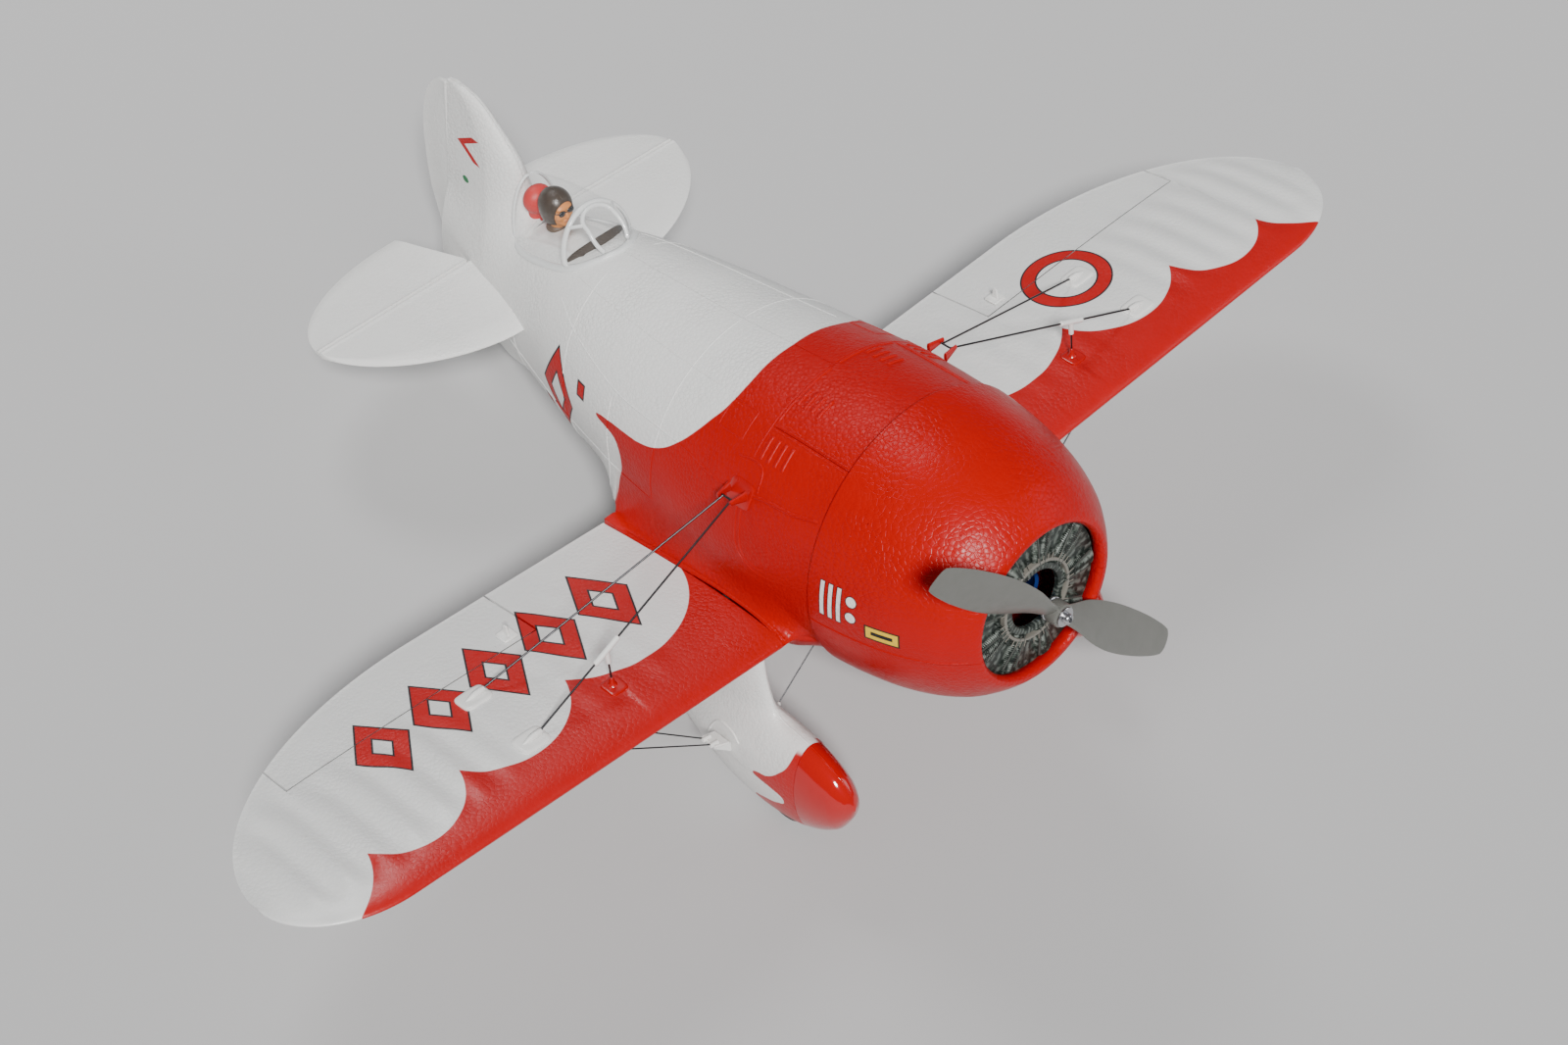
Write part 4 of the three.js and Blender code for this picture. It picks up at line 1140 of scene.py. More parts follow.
def prop_fixings():
    adapter = lathe(by_prop([
        (0.3, -3), (2.6, -3), (3, -2.6), (3, 5.3), (8.4, 5.3), (9, 5.9), (9, 7.4), (8.4, 8), (6, 9.6), (5.5, 10.4),
        (5.5, 15), (5, 15.7), (0.3, 15.7),
    ]), segments=64)
    head = lathe(by_prop([
        (0.3, -9.2), (1.5, -9.2), (1.6, -11.3), (2.2, -11.6), (3.3, -11.1), (3.9, -10.2), (3.9, -7.5), (3.6, -7.3),
        (7.1, -7.3), (7.5, -6.9), (7.5, -6.2), (7.2, -5.9), (2.4, -5.9), (2.4, -3.6), (2.2, -3.4), (0.3, -3.4),
    ]), segments=48)
    return adapter, head


def propeller():
    curve = through([[0.03, 12, 38, 5], [0.14, 19, 42, 4.6], [0.3, 31, 34, 3.9], [0.5, 35, 24, 3.1],
                     [0.75, 31, 17, 2.1], [0.94, 23, 13, 1.4], [1, 19, 12, 1.2]])
    rings = []
    shares = np.concatenate([np.linspace(0.03, 0.9, 60), np.linspace(0.91, 0.985, 12),
                             1 - 0.015 * (1 - np.sin(np.linspace(0.1, math.pi / 2, 6)))])
    turns = round_turns(40)
    for share in shares:
        chord, pitch, thick = curve(share)[0]
        angle = math.radians(pitch)
        tip = math.sqrt(max(0.05, 1 - max(0, (share - 0.985) / 0.015) ** 2))
        a = chord / 2 * np.cos(turns)
        camber = 0.8 * (1 - (2 * a / chord) ** 2) * min(1, share * 4) * 0.8
        c = thick / 2 * tip * np.sin(turns) * (0.7 + 0.3 * np.cos(turns)) + camber
        rounded = 3.2 * max(0, (share - 0.9) / 0.1) * np.abs(np.cos(turns)) ** 3
        rings.append(np.stack([
            a * math.cos(angle) - c * math.sin(angle),
            PROP_Y - a * math.sin(angle) - c * math.cos(angle),
            np.full(40, share * 157 - rounded),
        ], axis=1))
    blade = loft(rings)
    hub_profile = by_prop([
        (3.3, -5.2), (3.8, -5.6), (7.6, -5.6), (8.7, -5), (9, -4), (9, 4), (8.6, 4.8), (3.8, 5), (3.3, 4.6),
    ])
    hub = lathe(hub_profile, centre=(0, 0, 0), segments=80, loop=True)
    rest_turn = -math.pi / 4
    return join(on_axis(hub), *[on_axis(blade, rest_turn + half) for half in (0, math.pi)])


# ---------------------------------------------------------------- cockpit
ARCH = through([[238, 7, 128], [245, 18, 138], [254, 27, 146], [268, 32.5, 151], [300, 32, 152.5], [325, 28, 150.5],
                [340, 22, 147]])


def canopy_point(y, degrees, grow=0.0):
    wide, top = ARCH(y).T
    foot = barrel_height(wide, y) + 1.6
    angle = np.radians(degrees)
    return np.stack([(wide + grow) * np.sin(angle), np.broadcast_to(y, np.shape(wide * angle)),
                     foot + (top - foot + grow) * np.cos(angle)], axis=-1)


def canopy_shell():
    ys = np.linspace(238, 340, 70)
    angles = np.linspace(-90, 90, 73)
    outer = [canopy_point(np.full(73, y), angles, 0.0) for y in ys]
    inner = [canopy_point(np.full(73, y), angles, -0.7)[::-1] for y in ys]
    return loft([np.concatenate(pair_of) for pair_of in zip(outer, inner)])


def canopy_strip(rows, width=3.0, height=1.2, count=50):
    """A moulded strip on the canopy along rows of [y, degrees]."""
    rows = smooth_line(rows, count)
    spots = canopy_point(rows[:, 0], rows[:, 1], 0.1)
    ahead = canopy_point(rows[:, 0] + 0.5, rows[:, 1], 0.1) - canopy_point(rows[:, 0] - 0.5, rows[:, 1], 0.1)
    round_by = canopy_point(rows[:, 0], rows[:, 1] + 0.5, 0.1) - canopy_point(rows[:, 0], rows[:, 1] - 0.5, 0.1)
    normals = unit(np.cross(ahead, round_by))
    normals *= np.sign((normals * (spots - [0, 295, 120])).sum(axis=1))[:, None]
    return ribbon(spots, normals, width, height, 0.9)


def windshield():
    turns = np.linspace(-88, 88, 21)
    strips = [canopy_strip([[264.5 + 5 * math.cos(math.radians(d)), d] for d in turns], 4.2, 1.5, 70)]
    inner = [[240.8, 74], [243.5, 56], [249.5, 38], [254, 31], [259, 27], [263, 19], [265.2, 8]]
    inner = [[y, -d] for y, d in inner] + [[265.6, 0]] + inner[::-1]
    strips.append(canopy_strip(inner, 3.4, 1.4, 90))
    for side in (-1, 1):
        strips.append(canopy_strip([[258, side * 28], [262.5, side * 34], [267.5, side * 40]], 2.8, 1.3, 20))
        strips.append(canopy_strip([[338.2, side * 86], [338.2, side * 45], [338.2, side * 2]], 2.4, 0.9, 30))
    rim = [[-22.4, 339], [-28.4, 325], [-32.4, 300], [-32.8, 270], [-27.4, 253.5], [-18.4, 244], [-8, 238],
           [0, 236.2]]
    rim = smooth_line(rim + [[-x, y] for x, y in rim[-2::-1]], 120)
    base = np.column_stack([rim, [crown(x, y) for x, y in rim]])
    strips.append(ribbon(base + [0, 0, 0.9], unit(slope_of(barrel_field, base)), 6.0, 1.4, 1.6))
    return join(*strips)


def deck():
    """The foam deck under the canopy, and the low dark panel that runs across it."""
    half, ahead, behind = 19.7, 258.3, 329.7
    rings = []
    for y in np.linspace(ahead, behind, 30):
        x = np.linspace(-half, half, 31)
        top = barrel_height(x, np.full(31, y)) - 0.4 - 1.4 * ease((half - np.abs(x)) / 4)
        rings.append(np.concatenate([np.stack([x, np.full(31, y), top], axis=1),
                                     [[half, y, 93.5], [-half, y, 93.5]]]))
    x = np.linspace(-27, 27, 49)
    y = 253.5 + 13 * (x / 27) ** 2
    foot = barrel_height(x, y)
    rise = 0.5 + 7.6 * np.sqrt(np.maximum(0, 1 - (x / 27.6) ** 2))
    panel = loft([[[a, b, c - 1], [a, b, c + h], [a, b + 1.6, c + h], [a, b + 1.6, c - 1]]
                  for a, b, c, h in zip(x, y, foot, rise)])
    gauges = []
    for x in (-15, -5, 5, 15):
        y = 255.2 + 13 * (x / 27) ** 2
        z = crown(x, y) + 3.6
        gauges.append(lathe([(0.3, y + 0.7), (2.1, y + 0.7), (2.5, y + 1.0), (2.7, y + 0.2)], centre=(x, 0, z),
                            segments=28))
    return loft(rings), panel, join(*gauges)


def ball(centre, radii):
    segments = 32
    turns = np.linspace(0, math.pi, segments // 2)
    profile = [(max(0.02, math.sin(t)), -math.cos(t)) for t in turns]
    shape = lathe(profile, centre=(0, 0, 0), axis="Z", segments=segments)
    return shape[0] * radii + centre, shape[1]


def ball_field(p, centre, radii):
    q = (p - centre) / radii
    reach = np.linalg.norm(q, axis=1) + 1e-6
    return (reach - 1) / (np.linalg.norm(q / radii, axis=1) / reach + 1e-6)


# The pilot's head by even thirds: brow, nose and chin lines one third of the face apart.
HEAD = np.array([0.0, 309.5, 130.5])
# The face's lumps: (place from the middle of the head, half sizes, reach of the blend).
FACE_BALLS = [
    ((0, 0, 3), (10.6, 12.2, 11.5), 2.0),
    ((0, -3.2, -5), (8.0, 8.4, 9.0), 3.0),
    ((0, -9.2, -10.6), (3.2, 2.6, 2.6), 2.5),
    ((0, -12.4, -2.3), (1.3, 1.7, 2.4), 1.4),
    ((0, -13.1, -3.6), (1.7, 1.5, 1.2), 1.0),
    ((-5.0, -8.2, -3.2), (3.2, 3.0, 3.0), 2.5),
    ((5.0, -8.2, -3.2), (3.2, 3.0, 3.0), 2.5),
    ((0, -10.6, 3.6), (6.6, 2.0, 1.5), 2.0),
    ((0, -11.2, -7.2), (2.5, 1.0, 0.7), 0.7),
    ((0, -10.8, -8.4), (2.0, 1.0, 0.7), 0.7),
    ((0, 1, -13), (6.4, 6.4, 8), 3.0),
]


def face_field(p):
    value = np.full(len(p), 60.0)
    for place, radii, reach in FACE_BALLS:
        value = blend_least(ball_field(p, HEAD + place, np.array(radii)), value, reach)
    return value


def helmet_field(p):
    cap = blend_least(ball_field(p, HEAD + [0, 0.8, 2.4], np.array([12.8, 13.8, 13.4])),
                      ball_field(p, HEAD + [0, 2.4, -6.5], np.array([10.6, 10.8, 9.4])), 5)
    window = blend_least(ball_field(p, HEAD + [0, -16.0, -1.5], np.array([9.9, 14.5, 10.4])),
                         ball_field(p, HEAD + [0, -14.5, -9], np.array([8.4, 12.6, 9.0])), 5)
    return -blend_least(-cap, window, 0.9)


def collar_field(p):
    collar = ball_field(p, np.array([0, 312.0, 112.0]), np.array([9.0, 8.2, 4.4]))
    return np.maximum(collar, 109.5 - p[:, 2])


def pilot():
    fine = 0.55
    face = melted([ball(HEAD + place, radii) for place, radii, _ in FACE_BALLS], face_field, fine)
    helmet = melted([ball(HEAD + [0, 0.8, 2.4], (12.6, 13.6, 13.2)),
                     ball(HEAD + [0, 2.4, -6.5], (10.4, 10.6, 9.2))], helmet_field, fine)
    collar = melted([ball((0, 312, 112), (8.8, 8.0, 4.2))], collar_field, 0.9)
    lenses = [ball(HEAD + [side * 4.1, -12.4, 0.8], (3.2, 1.3, 2.5)) for side in (-1, 1)]
    bridge = tube([HEAD + [x, -13.1 - 0.3 * (1 - abs(x)), 1.2] for x in (-1.6, -0.8, 0, 0.8, 1.6)], 0.4, 8)
    arms = [tube([HEAD + [side * 6.8, -11.9, 1.4], HEAD + [side * 8.4, -9.6, 1.6], HEAD + [side * 9.6, -6.5, 1.8]],
                 0.4, 8) for side in (-1, 1)]
    seam_y = np.linspace(-11.4, 13.5, 40)
    seam = [HEAD + [0, y, 2.4 + 13.4 * math.sqrt(max(0.0, 1 - ((y - 0.8) / 13.8) ** 2))] for y in seam_y]
    stitched = skin_line(helmet_field, seam[2:-2], 0.8, 0.35)
    return face, join(helmet, stitched), collar, join(*lenses, bridge, *arms)


def headrest():
    field = lambda p: blend_least(ball_field(p, np.array([0, 332.0, 127.5]), np.array([12.4, 9.5, 11.5])),
                                  ball_field(p, np.array([0, 336.0, 112.0]), np.array([7.0, 6.5, 8.0])), 5)
    return melted([ball((0, 332, 127.5), (12, 9, 11)), ball((0, 336, 112), (6.6, 6.2, 7.6))], field, 1.0)


# ---------------------------------------------------------------- landing gear
GEAR_X = 130.0
SEAM = -77.0
SPAT = through([
    [-119, 1.5, -116, -121], [-115, 8, -107, -132], [-103, 15, -95, -150], [-77, 20.5, -83, -166],
    [-45, 22, -78, -172],
    [-10, 20.5, -83, -169], [25, 15, -96, -158], [55, 7.5, -112, -143], [70, 2, -122, -132],
])
STRUT = through([[-105, -62, 48, 14], [-85, -48, 50, 9], [-50, -38, 56, 8], [-15, -36, 66, 10]])
WHEEL = np.array([GEAR_X, -45.0, -155.0])
WELL = (7.5, 27.5)
TAIL_WHEEL = (0, 466, -23)
SERVO_SHAFT_Y = 203


def spat_field(p):
    wide, top, low = SPAT(p[:, 1]).T
    over = np.maximum(0, np.abs(p[:, 1] + 24.5) - 94.3)
    return ellipse_distance(p[:, 0] - GEAR_X, p[:, 2] - (top + low) / 2, wide, (top - low) / 2) + over


def strut_field(p):
    front, back, half = STRUT(p[:, 2]).T
    along, across = p[:, 1], p[:, 0] - GEAR_X
    thick = front + 0.3 * (back - front)
    nose = ellipse_distance(along - thick, across, thick - front, half)
    over = np.maximum(0, along - back)
    rear = np.abs(across) - 2 * half * wing_curve((along - front) / (back - front))
    body = np.where(along < thick, nose, np.hypot(np.maximum(rear, 0), over) + np.minimum(rear, 0) * (over == 0))
    return np.maximum(body, np.abs(p[:, 2] + 65) - 49)


def leg_field(p):
    return blend_least(spat_field(p), strut_field(p), 13)


def gear_skins():
    """The spat with its strut, and the spat's front cap, as thin shells open over the wheel."""
    turns = round_turns(72)
    rings = []
    for y in np.linspace(-118.8, 69.8, 110):
        wide, top, low = SPAT(y)[0]
        rings.append([[GEAR_X + wide * math.sin(t), y, (top + low) / 2 + (top - low) / 2 * math.cos(t)]
                      for t in turns])
    strut = []
    for z in np.linspace(-112, -17, 40):
        front, back, half = STRUT(z)[0]
        shares = edge_shares(30)
        side = [[GEAR_X + max(0.5, 2 * half * wing_curve(s)), front + (back - front) * s, z] for s in shares]
        strut.append(side + [[2 * GEAR_X - x, y, level] for x, y, level in side[::-1]])
    skin = melted([loft(rings), loft(strut)], leg_field, 1.7)
    skin = sliced(skin, (0, SEAM, 0), (0, 1, 0), clear=False)
    skin = sliced(skin, (0, SEAM - GAP, 0), (0, 1, 0), clear=False)
    for side in (-1, 1):
        skin = sliced(skin, (GEAR_X + side * WELL[0], 0, 0), (1, 0, 0), clear=False)
        skin = sliced(skin, (0, WHEEL[1] + side * WELL[1], 0), (0, 1, 0), clear=False)
    mouth = lambda m: ((np.abs(m[:, 0] - GEAR_X) < WELL[0]) & (np.abs(m[:, 1] - WHEEL[1]) < WELL[1])
                       & (m[:, 2] < -150))
    wall = lambda shape, thick: modified(shape, "SOLIDIFY", thickness=thick, offset=-1.0)
    leg = wall(part_of(skin, lambda m: (m[:, 1] > SEAM) & ~mouth(m)), 1.6)
    cap = wall(part_of(skin, lambda m: m[:, 1] < SEAM - GAP), 1.4)
    return leg, cap


def gear_line(rows, width=1.1, height=0.4):
    """A raised line along the middle of the strut and spat, through (y, z) places."""
    return skin_line(leg_field, [[GEAR_X, y, z] for y, z in rows], width, height)


def gear_relief():
    """The parting lines down the front of the strut and up its back."""
    front = ((-36.5, -28), (-38.5, -50), (-47, -80), (-56, -88), (-64, -88), (-75.5, -84.5))
    rear = ((62, -28), (55, -55), (50, -85), (52, -106), (60, -117))
    return gear_line(front), gear_line(rear)


def cap_relief():
    return gear_line(((-78.6, -83.5), (-95, -90), (-108, -99), (-115, -108)), 1.0, 0.35)


def gear_bracket():
    root, tip = GEAR_X + 21.0, GEAR_X + 35.0
    rings = []
    for t in np.linspace(0, 1, 8):
        x = root + (tip - root) * t
        low, high = -118 + 12.5 * t, -108 + 5.5 * t
        front, back = -14 + t, 4 - t
        rings.append([[x, front, low], [x, back, low], [x, back, high], [x, front, high]])
    arm = eased(loft(rings), 0.9, 3, 50)
    plate = [[GEAR_X + 15, y, z] for y, z in ((-22, -106), (-14, -101), (2, -101), (12, -112), (18, -126))]
    clips = [rod([tip - 6, y, -104.8], [tip + 1.5, y, -103.4], 1.9, 20, 0.5) for y in (-9, -1)]
    return join(arm, skin_line(leg_field, plate, 1.8, 1.0), *clips)


def gear_wires():
    return join(*[rod([GEAR_X + 32, a, -105.2], end, 0.55, 12, 0.1)
                  for a, end in ((-9, (296, 2, -14.8)), (-1, (300, 62, -13.8)))])


def belly_wires():
    clip = rod([122, -24, -92], [110.5, -24, -92.3], 1.7, 20, 0.4)
    wire = rod([112, -24, -92.2], [66, -21, -62], 0.5, 12, 0.1)
    return clip, wire


def both_ways(rows, half):
    """A turned profile and its mirror image; rows are (radius, share of the half width)."""
    return [(r, -half * h) for r, h in rows] + [(r, half * h) for r, h in rows[::-1]]


def wheel(centre, radius, half):
    """A foam tyre and its moulded hub."""
    tread = ((0.55, 0.85), (0.64, 0.98), (0.8, 1), (0.93, 0.85), (0.985, 0.55), (1, 0.2))
    web = ((0.2, 0.9), (0.22, 0.5), (0.48, 0.45), (0.5, 0.9), (0.545, 0.9))
    bore = radius * 0.11 + 0.2
    tyre = lathe(both_ways([(radius * r, h) for r, h in tread], half), centre, "X", 96, True)
    hub = lathe(both_ways([(bore, 0.9)] + [(radius * r, h) for r, h in web], half), centre, "X", 64, True)
    return tyre, hub


def tail_leg():
    back = post_y(10)
    bends = [(0, back + 3.8, 17.2), (0, post_y(0) + 3.6, 2), (0, 459, -3), (1.2, 460, -5), (6, 463.5, -7.6),
             (7, 464.2, -9.5), (7, 466, -21.5),
             (6.2, 466, -22.8), (4.5, 466, -23), (-5, 466, -23)]
    wire = tube(smooth_line(bends, 60), 1.2, 14)
    tiller = block([-22, back + 6.2, 9.6], [2, back + 9, 11.4], 0.6)
    neck = block([-2, back + 2, 9.6], [2, back + 9, 11.4], 0.5)
    eye = lathe([(1.2, -1.3), (2.2, -1.3), (2.6, -0.9), (2.6, 0.9), (2.2, 1.3), (1.2, 1.3)],
                centre=(-20.5, back + 7.6, 10.5), axis="Z", segments=24, loop=True)
    return wire, join(tiller, neck, eye)


# ---------------------------------------------------------------- wing fittings
def wing_top(p):
    return p[:, 2] - wing_surface(np.abs(p[:, 0]), p[:, 1])[0]


def wing_spot(x, y, lift=0.0):
    return np.array([x, y, float(wing_surface(np.array([x]), np.array([y]))[0][0]) + lift])


WIRE_FRONT = (np.array([108, 4, 86.5]), 0.0)
WIRE_REAR = (np.array([108, 12, 86.5]), 62.0)
LUG_X = 306.0
SPREADER_X = 232.5
X_WAY, Y_WAY = (1, 0, 0), (0, 1, 0)


def wire_run(run):
    start, y = run
    return start, wing_spot(LUG_X - 8, y, 3.2)


def flying_wires():
    wires = [rod(*wire_run(run), 0.75, 14, 0.1) for run in (WIRE_FRONT, WIRE_REAR)]
    cross = rod([108, 2.6, 86.5], [108, 13.4, 86.5], 0.75, 14, 0.1)
    lugs = []
    for y in (0.0, 62.0):
        centre = wing_spot(LUG_X, y)
        lugs.append(pad(wing_top, centre, X_WAY, Y_WAY, 12, 9, 1.5))
        root = [wing_spot(LUG_X + d, y, h)
                for d, h in ((-9.5, 3.1), (-7, 3.0), (-3, 2.6), (1, 1.9), (5, 1.0), (8, 0.3))]
        lugs.append(tube(smooth_line(root, 24),
                         np.interp(np.linspace(0, 1, 24), [0, 0.15, 0.5, 1], [1.7, 2.1, 2.2, 0.8]), 20))
    return join(*wires, cross), join(*lugs)


def spreader():
    start, end = wire_run(WIRE_FRONT)
    way = (end - start) / np.linalg.norm(end - start)
    at = start + way * ((SPREADER_X - start[0]) / way[0])
    foot = wing_spot(SPREADER_X, 0.0)
    sleeve = join(rod(at - way * 12.5, at + way * 12.5, 2.1, 24, 0.5),
                  rod(at - [0, 0, 11.5], at - [0, 0, 0.5], 1.9, 24, 0.4))
    pin = rod([at[0], at[1], foot[2] + 4], at - [0, 0, 8], 0.7, 12, 0.1)
    cone = tube([foot + [0, at[1], h] for h in (0.4, 1.6, 3.2, 5.5, 7.6, 8.0)], [4.6, 3.2, 2.3, 1.7, 1.3, 0.9], 24)
    base = pad(wing_top, foot, X_WAY, Y_WAY, 7.5, 8, 1.3)
    return sleeve, pin, join(cone, base)


def wire_bracket():
    centre = np.array([103.0, 8.0, 87.0])
    spot, normal = on_skin([centre], hull_field)
    normal = normal[0]
    across = unit(np.cross(normal, [0, 1, 0]))
    plate = pad(hull_field, spot[0], (0, 1, 0), across, 11.5, 9.5, 1.2)
    ears = []
    for y in (-0.5, 16.5):
        ear = []
        for t in np.linspace(0, 1, 10):
            middle = np.array([98 + 13.5 * t, y + (8 - y) * 0.25 * t, 85.8 + 1.2 * t])
            tall, wide = 4.6 - 2.6 * t, 1.5 - 0.4 * t
            ear.append([middle + [0, wide * math.cos(a), tall * math.sin(a)] for a in round_turns(16)])
        ears.append(loft(ear))
    return join(plate, *ears)


def aileron_horn():
    z = wing_spot(249.0, AILERON["hinge"])[2]
    plate = block([243, 91, z - 0.6], [255, 103, z + 1.5], 0.7, 3)
    slope = lambda rows: eased(loft([[[x, a, b] for a, b in rows] for x in (248.2, 249.8)]), 0.35, 2, 50)
    fin = slope([(93.5, z), (100.5, z), (97.8, z + 10), (94.8, z + 10)])
    arm = slope([(95, -20.5), (98, -20.5), (100.5, z), (93.5, z)])
    return join(plate, fin, arm)


# ---------------------------------------------------------------- radio gear and power
def servo(x):
    """A small servo standing with its shaft up."""
    case = block([x - 6, 196, 10], [x + 6, 219, 24.6], 0.8, 3)
    lid = block([x - 6, 196, 25], [x + 6, 219, 33], 0.8, 3)
    ears = block([x - 6, 191, 25.2], [x + 6, 224, 26.8], 0.5, 2)
    boss = lathe([(0.3, 35.2), (3.2, 35.2), (3.9, 34.6), (4, 32)], centre=(x, SERVO_SHAFT_Y, 0), axis="Z",
                 segments=36)
    screws = [lathe([(0.2, 27.3), (0.5, 27.3), (0.6, 27.9), (1.6, 27.7), (2, 27.1), (2, 26.6)], centre=(x, y, 0),
                    axis="Z", segments=20) for y in (193.3, 221.8)]
    return join(case, lid, ears, boss), join(*screws)


def servo_arm(x):
    tip = x - 11
    hub = lathe([(1.0, 37.4), (1.2, 38), (2.6, 38), (3, 37.6), (3, 35.8), (2.7, 35.5), (1.0, 35.5)],
                centre=(x, SERVO_SHAFT_Y, 0), axis="Z", segments=36, loop=True)
    shape = block([tip, 201.2, 36], [x - 1.5, 204.8, 37.5], 0.6, 2)
    return join(hub, shape)


def small_servo():
    case = block([245, 13, -22], [267, 36, -9], 0.9, 3)
    boss = rod([246, 20, -17], [242.6, 20, -17], 3, 32, 0.5)
    return join(case, boss)


def small_arm():
    hub = rod([240.9, 20, -17], [242.3, 20, -17], 2.6, 28, 0.3)
    return join(hub, block([240.9, 18.5, -29.5], [242.3, 21.5, -17], 0.5, 2))


def wrapped_pack(low, high, ends, ease_by):
    """A shrink-wrapped block with end caps."""
    (x0, y0, z0), (x1, y1, z1) = low, high
    caps = [block([x0 + ends, y, z0 + ends], [x1 - ends, y + 1.0, z1 - ends], 0.4) for y in (y0 - 0.4, y1 - 0.6)]
    return block(low, high, ease_by, 4), join(*caps)


def joiner():
    y, z = TAIL_HINGE, TAIL_Z
    bar = rod([-36, y, z], [36, y, z], 1.6, 24, 0.4)
    corners = ((y - 3, z), (y + 3, z), (y + 2, z - 20), (y - 2, z - 20))
    lever = eased(loft([[[x, *corner] for corner in corners] for x in (-1, 1)]), 0.35, 2, 50)
    return join(bar, lever)


# ---------------------------------------------------------------- paints
RED = (0.45, 0.0006, 0.0012)
DEEP_RED = (0.36, 0.0005, 0.001)
WHITE = (0.8, 0.8, 0.785)
INK = (0.012, 0.012, 0.014)
YELLOW = (0.8, 0.52, 0.03)


def ring_distance(u, v, radius):
    return (u * u + v * v).root() - radius


def diamond_distance(u, v, wide, tall):
    return (abs(u) / wide + abs(v) / tall - 1) * (wide * tall / math.hypot(wide, tall))


def box_distance(u, v, wide, tall):
    return (abs(u) - wide).most(abs(v) - tall)


def bead_foam(paint, depth=1.0, bead=3.3):
    """The skin of moulded bead foam: soft round beads, fine grain and raised specks. Returns the bead gaps, which
    the fuselage paint greys as painted shade.
    """
    beads = paint.cells(bead, "SMOOTH_F1")
    gaps = paint.texture("ShaderNodeTexVoronoi", bead, "Distance", feature="DISTANCE_TO_EDGE").below(0.07, 0.07)
    patches = paint.noise(60, 2).above(0.52, 0.2)
    grain = paint.noise(0.9, 3)
    specks = paint.cells(13).below(0.035, 0.02)
    height = (beads * -0.42 - gaps * 0.16) * (patches * 0.7 + 0.4) + grain * 0.06 + specks * 0.5
    paint.bump(height, depth)
    return gaps


def wing_red(x, y):
    """The scalloped edge between the red front and the white back of the wing."""
    span = abs(x)
    lobes = None
    for at, level, radius in ((195, 88, 82), (309, 48, 60), (404, 24, 48), (500, 15, 58)):
        lobe = ring_distance(span - at, y - level, radius)
        lobes = lobe if lobes is None else lobes.least(lobe)
    line = span.curve([(118, 88), (195, 88), (309, 48), (404, 24), (500, 15), (530, 15)])
    white = lobes.least(line - y).most(116.5 - span)
    return white.above(0, 0.3)


def barrel_red(x, y, z):
    """The swept edge between the red nose and the white tail of the fuselage."""
    height = z - ROUND_Z
    round_by = abs(x).math("ARCTAN2", height) * (180 / math.pi)
    edge = round_by.curve([
        (0, 49), (13, 50), (26, 50), (36, 53), (44, 60), (52, 69), (59, 80), (66, 97), (70.5, 126), (73, 176),
        (75.5, 158), (79, 146), (87, 141), (100, 147), (118, 150), (140, 110), (165, 70), (180, 64),
    ])
    return (y - edge).below(0, 0.5)


def side_decals(paint, x, y, z, colour):
    """Plain rings and diamonds on the fuselage's sides."""
    u = y - 236
    v = z - 38
    big = abs(diamond_distance(u, v, 24, 40) + 6) - 6
    small = box_distance(y - 199, z - 62, 5.5, 6.5)
    other = box_distance(y - 264, z - 8, 5.5, 6.5)
    for mark in (big, small, other):
        outside = abs(x).above(20)
        colour = paint.blend(mark.below(0) * outside, colour, INK)
        colour = paint.blend(mark.below(-1.5) * outside, colour, RED)
    return colour


def hull_paint():
    paint = Paint("fuselage_foam", rough=0.38)
    x, y, z = paint.place()
    gaps = bead_foam(paint)
    red = barrel_red(x, y, z)
    span = abs(x)
    red = red.most(span.above(99, 3) * y.below(151, 0.4))
    # Painted shade: the white is greyed in the recessed gaps between the beads.
    white = paint.blend(gaps * 0.35, WHITE, (0.66, 0.66, 0.65))
    cloudy = paint.blend(paint.noise(45, 3) * 0.4, white, (0.7, 0.7, 0.69))
    base = side_decals(paint, x, y, z, cloudy)
    fin = fin_decals(paint, y, z, base)
    paint.colour(paint.blend(red, fin, paint.red_foam()))
    paint.roughness(paint.noise(8, 3) * 0.2 + 0.27 + (1 - red) * 0.08)
    paint.set("Specular IOR Level", 0.22)
    paint.soft(0.06)
    return paint


def fin_decals(paint, y, z, colour):
    """A small plain chevron and a small oval on the fin."""
    chevron = abs((y - 400) * 0.5 + abs(z - 150) - 5) - 2.6
    chevron = chevron.most(abs(z - 150) - 11)
    oval = ring_distance((y - 407) * 0.75, (z - 118) * 1.2, 3.4)
    side = z.above(90)
    colour = paint.blend(chevron.below(0) * side, colour, RED)
    return paint.blend(oval.below(0) * side, colour, (0.01, 0.16, 0.05))


def cowl_paint():
    """Red foam with plain stripes and one framed label on each side."""
    paint = Paint("cowl_foam", rough=0.3)
    x, y, z = paint.place()
    bead_foam(paint, bead=3.9)
    warm = paint.red_foam()
    side = abs(x).above(60)
    u = y * -1
    stripes = box_distance(u - 80, z - 47, 1.6, 14).least(box_distance(u - 87, z - 47, 1.6, 14))
    stripes = stripes.least(box_distance(u - 94, z - 47, 1.6, 14))
    dots = ring_distance(u - 104, z - 54, 4).least(ring_distance(u - 104, z - 41, 4))
    colour = paint.blend(stripes.least(dots).below(0.7, 0.2) * side, warm, INK)
    colour = paint.blend(stripes.least(dots).below(0, 0.2) * side, colour, (0.8, 0.8, 0.78))
    label = box_distance(u - 128, z - 35, 13, 6)
    colour = paint.blend(label.below(0, 0.2) * side, colour, INK)
    colour = paint.blend(label.below(-1.2, 0.2) * side, colour, YELLOW)
    bar = box_distance(u - 128, z - 35, 8, 1.6)
    paint.colour(paint.blend(bar.below(0, 0.2) * side, colour, INK))
    paint.roughness(paint.noise(8, 3) * 0.22 + 0.22)
    paint.set("Specular IOR Level", 0.22)
    return paint


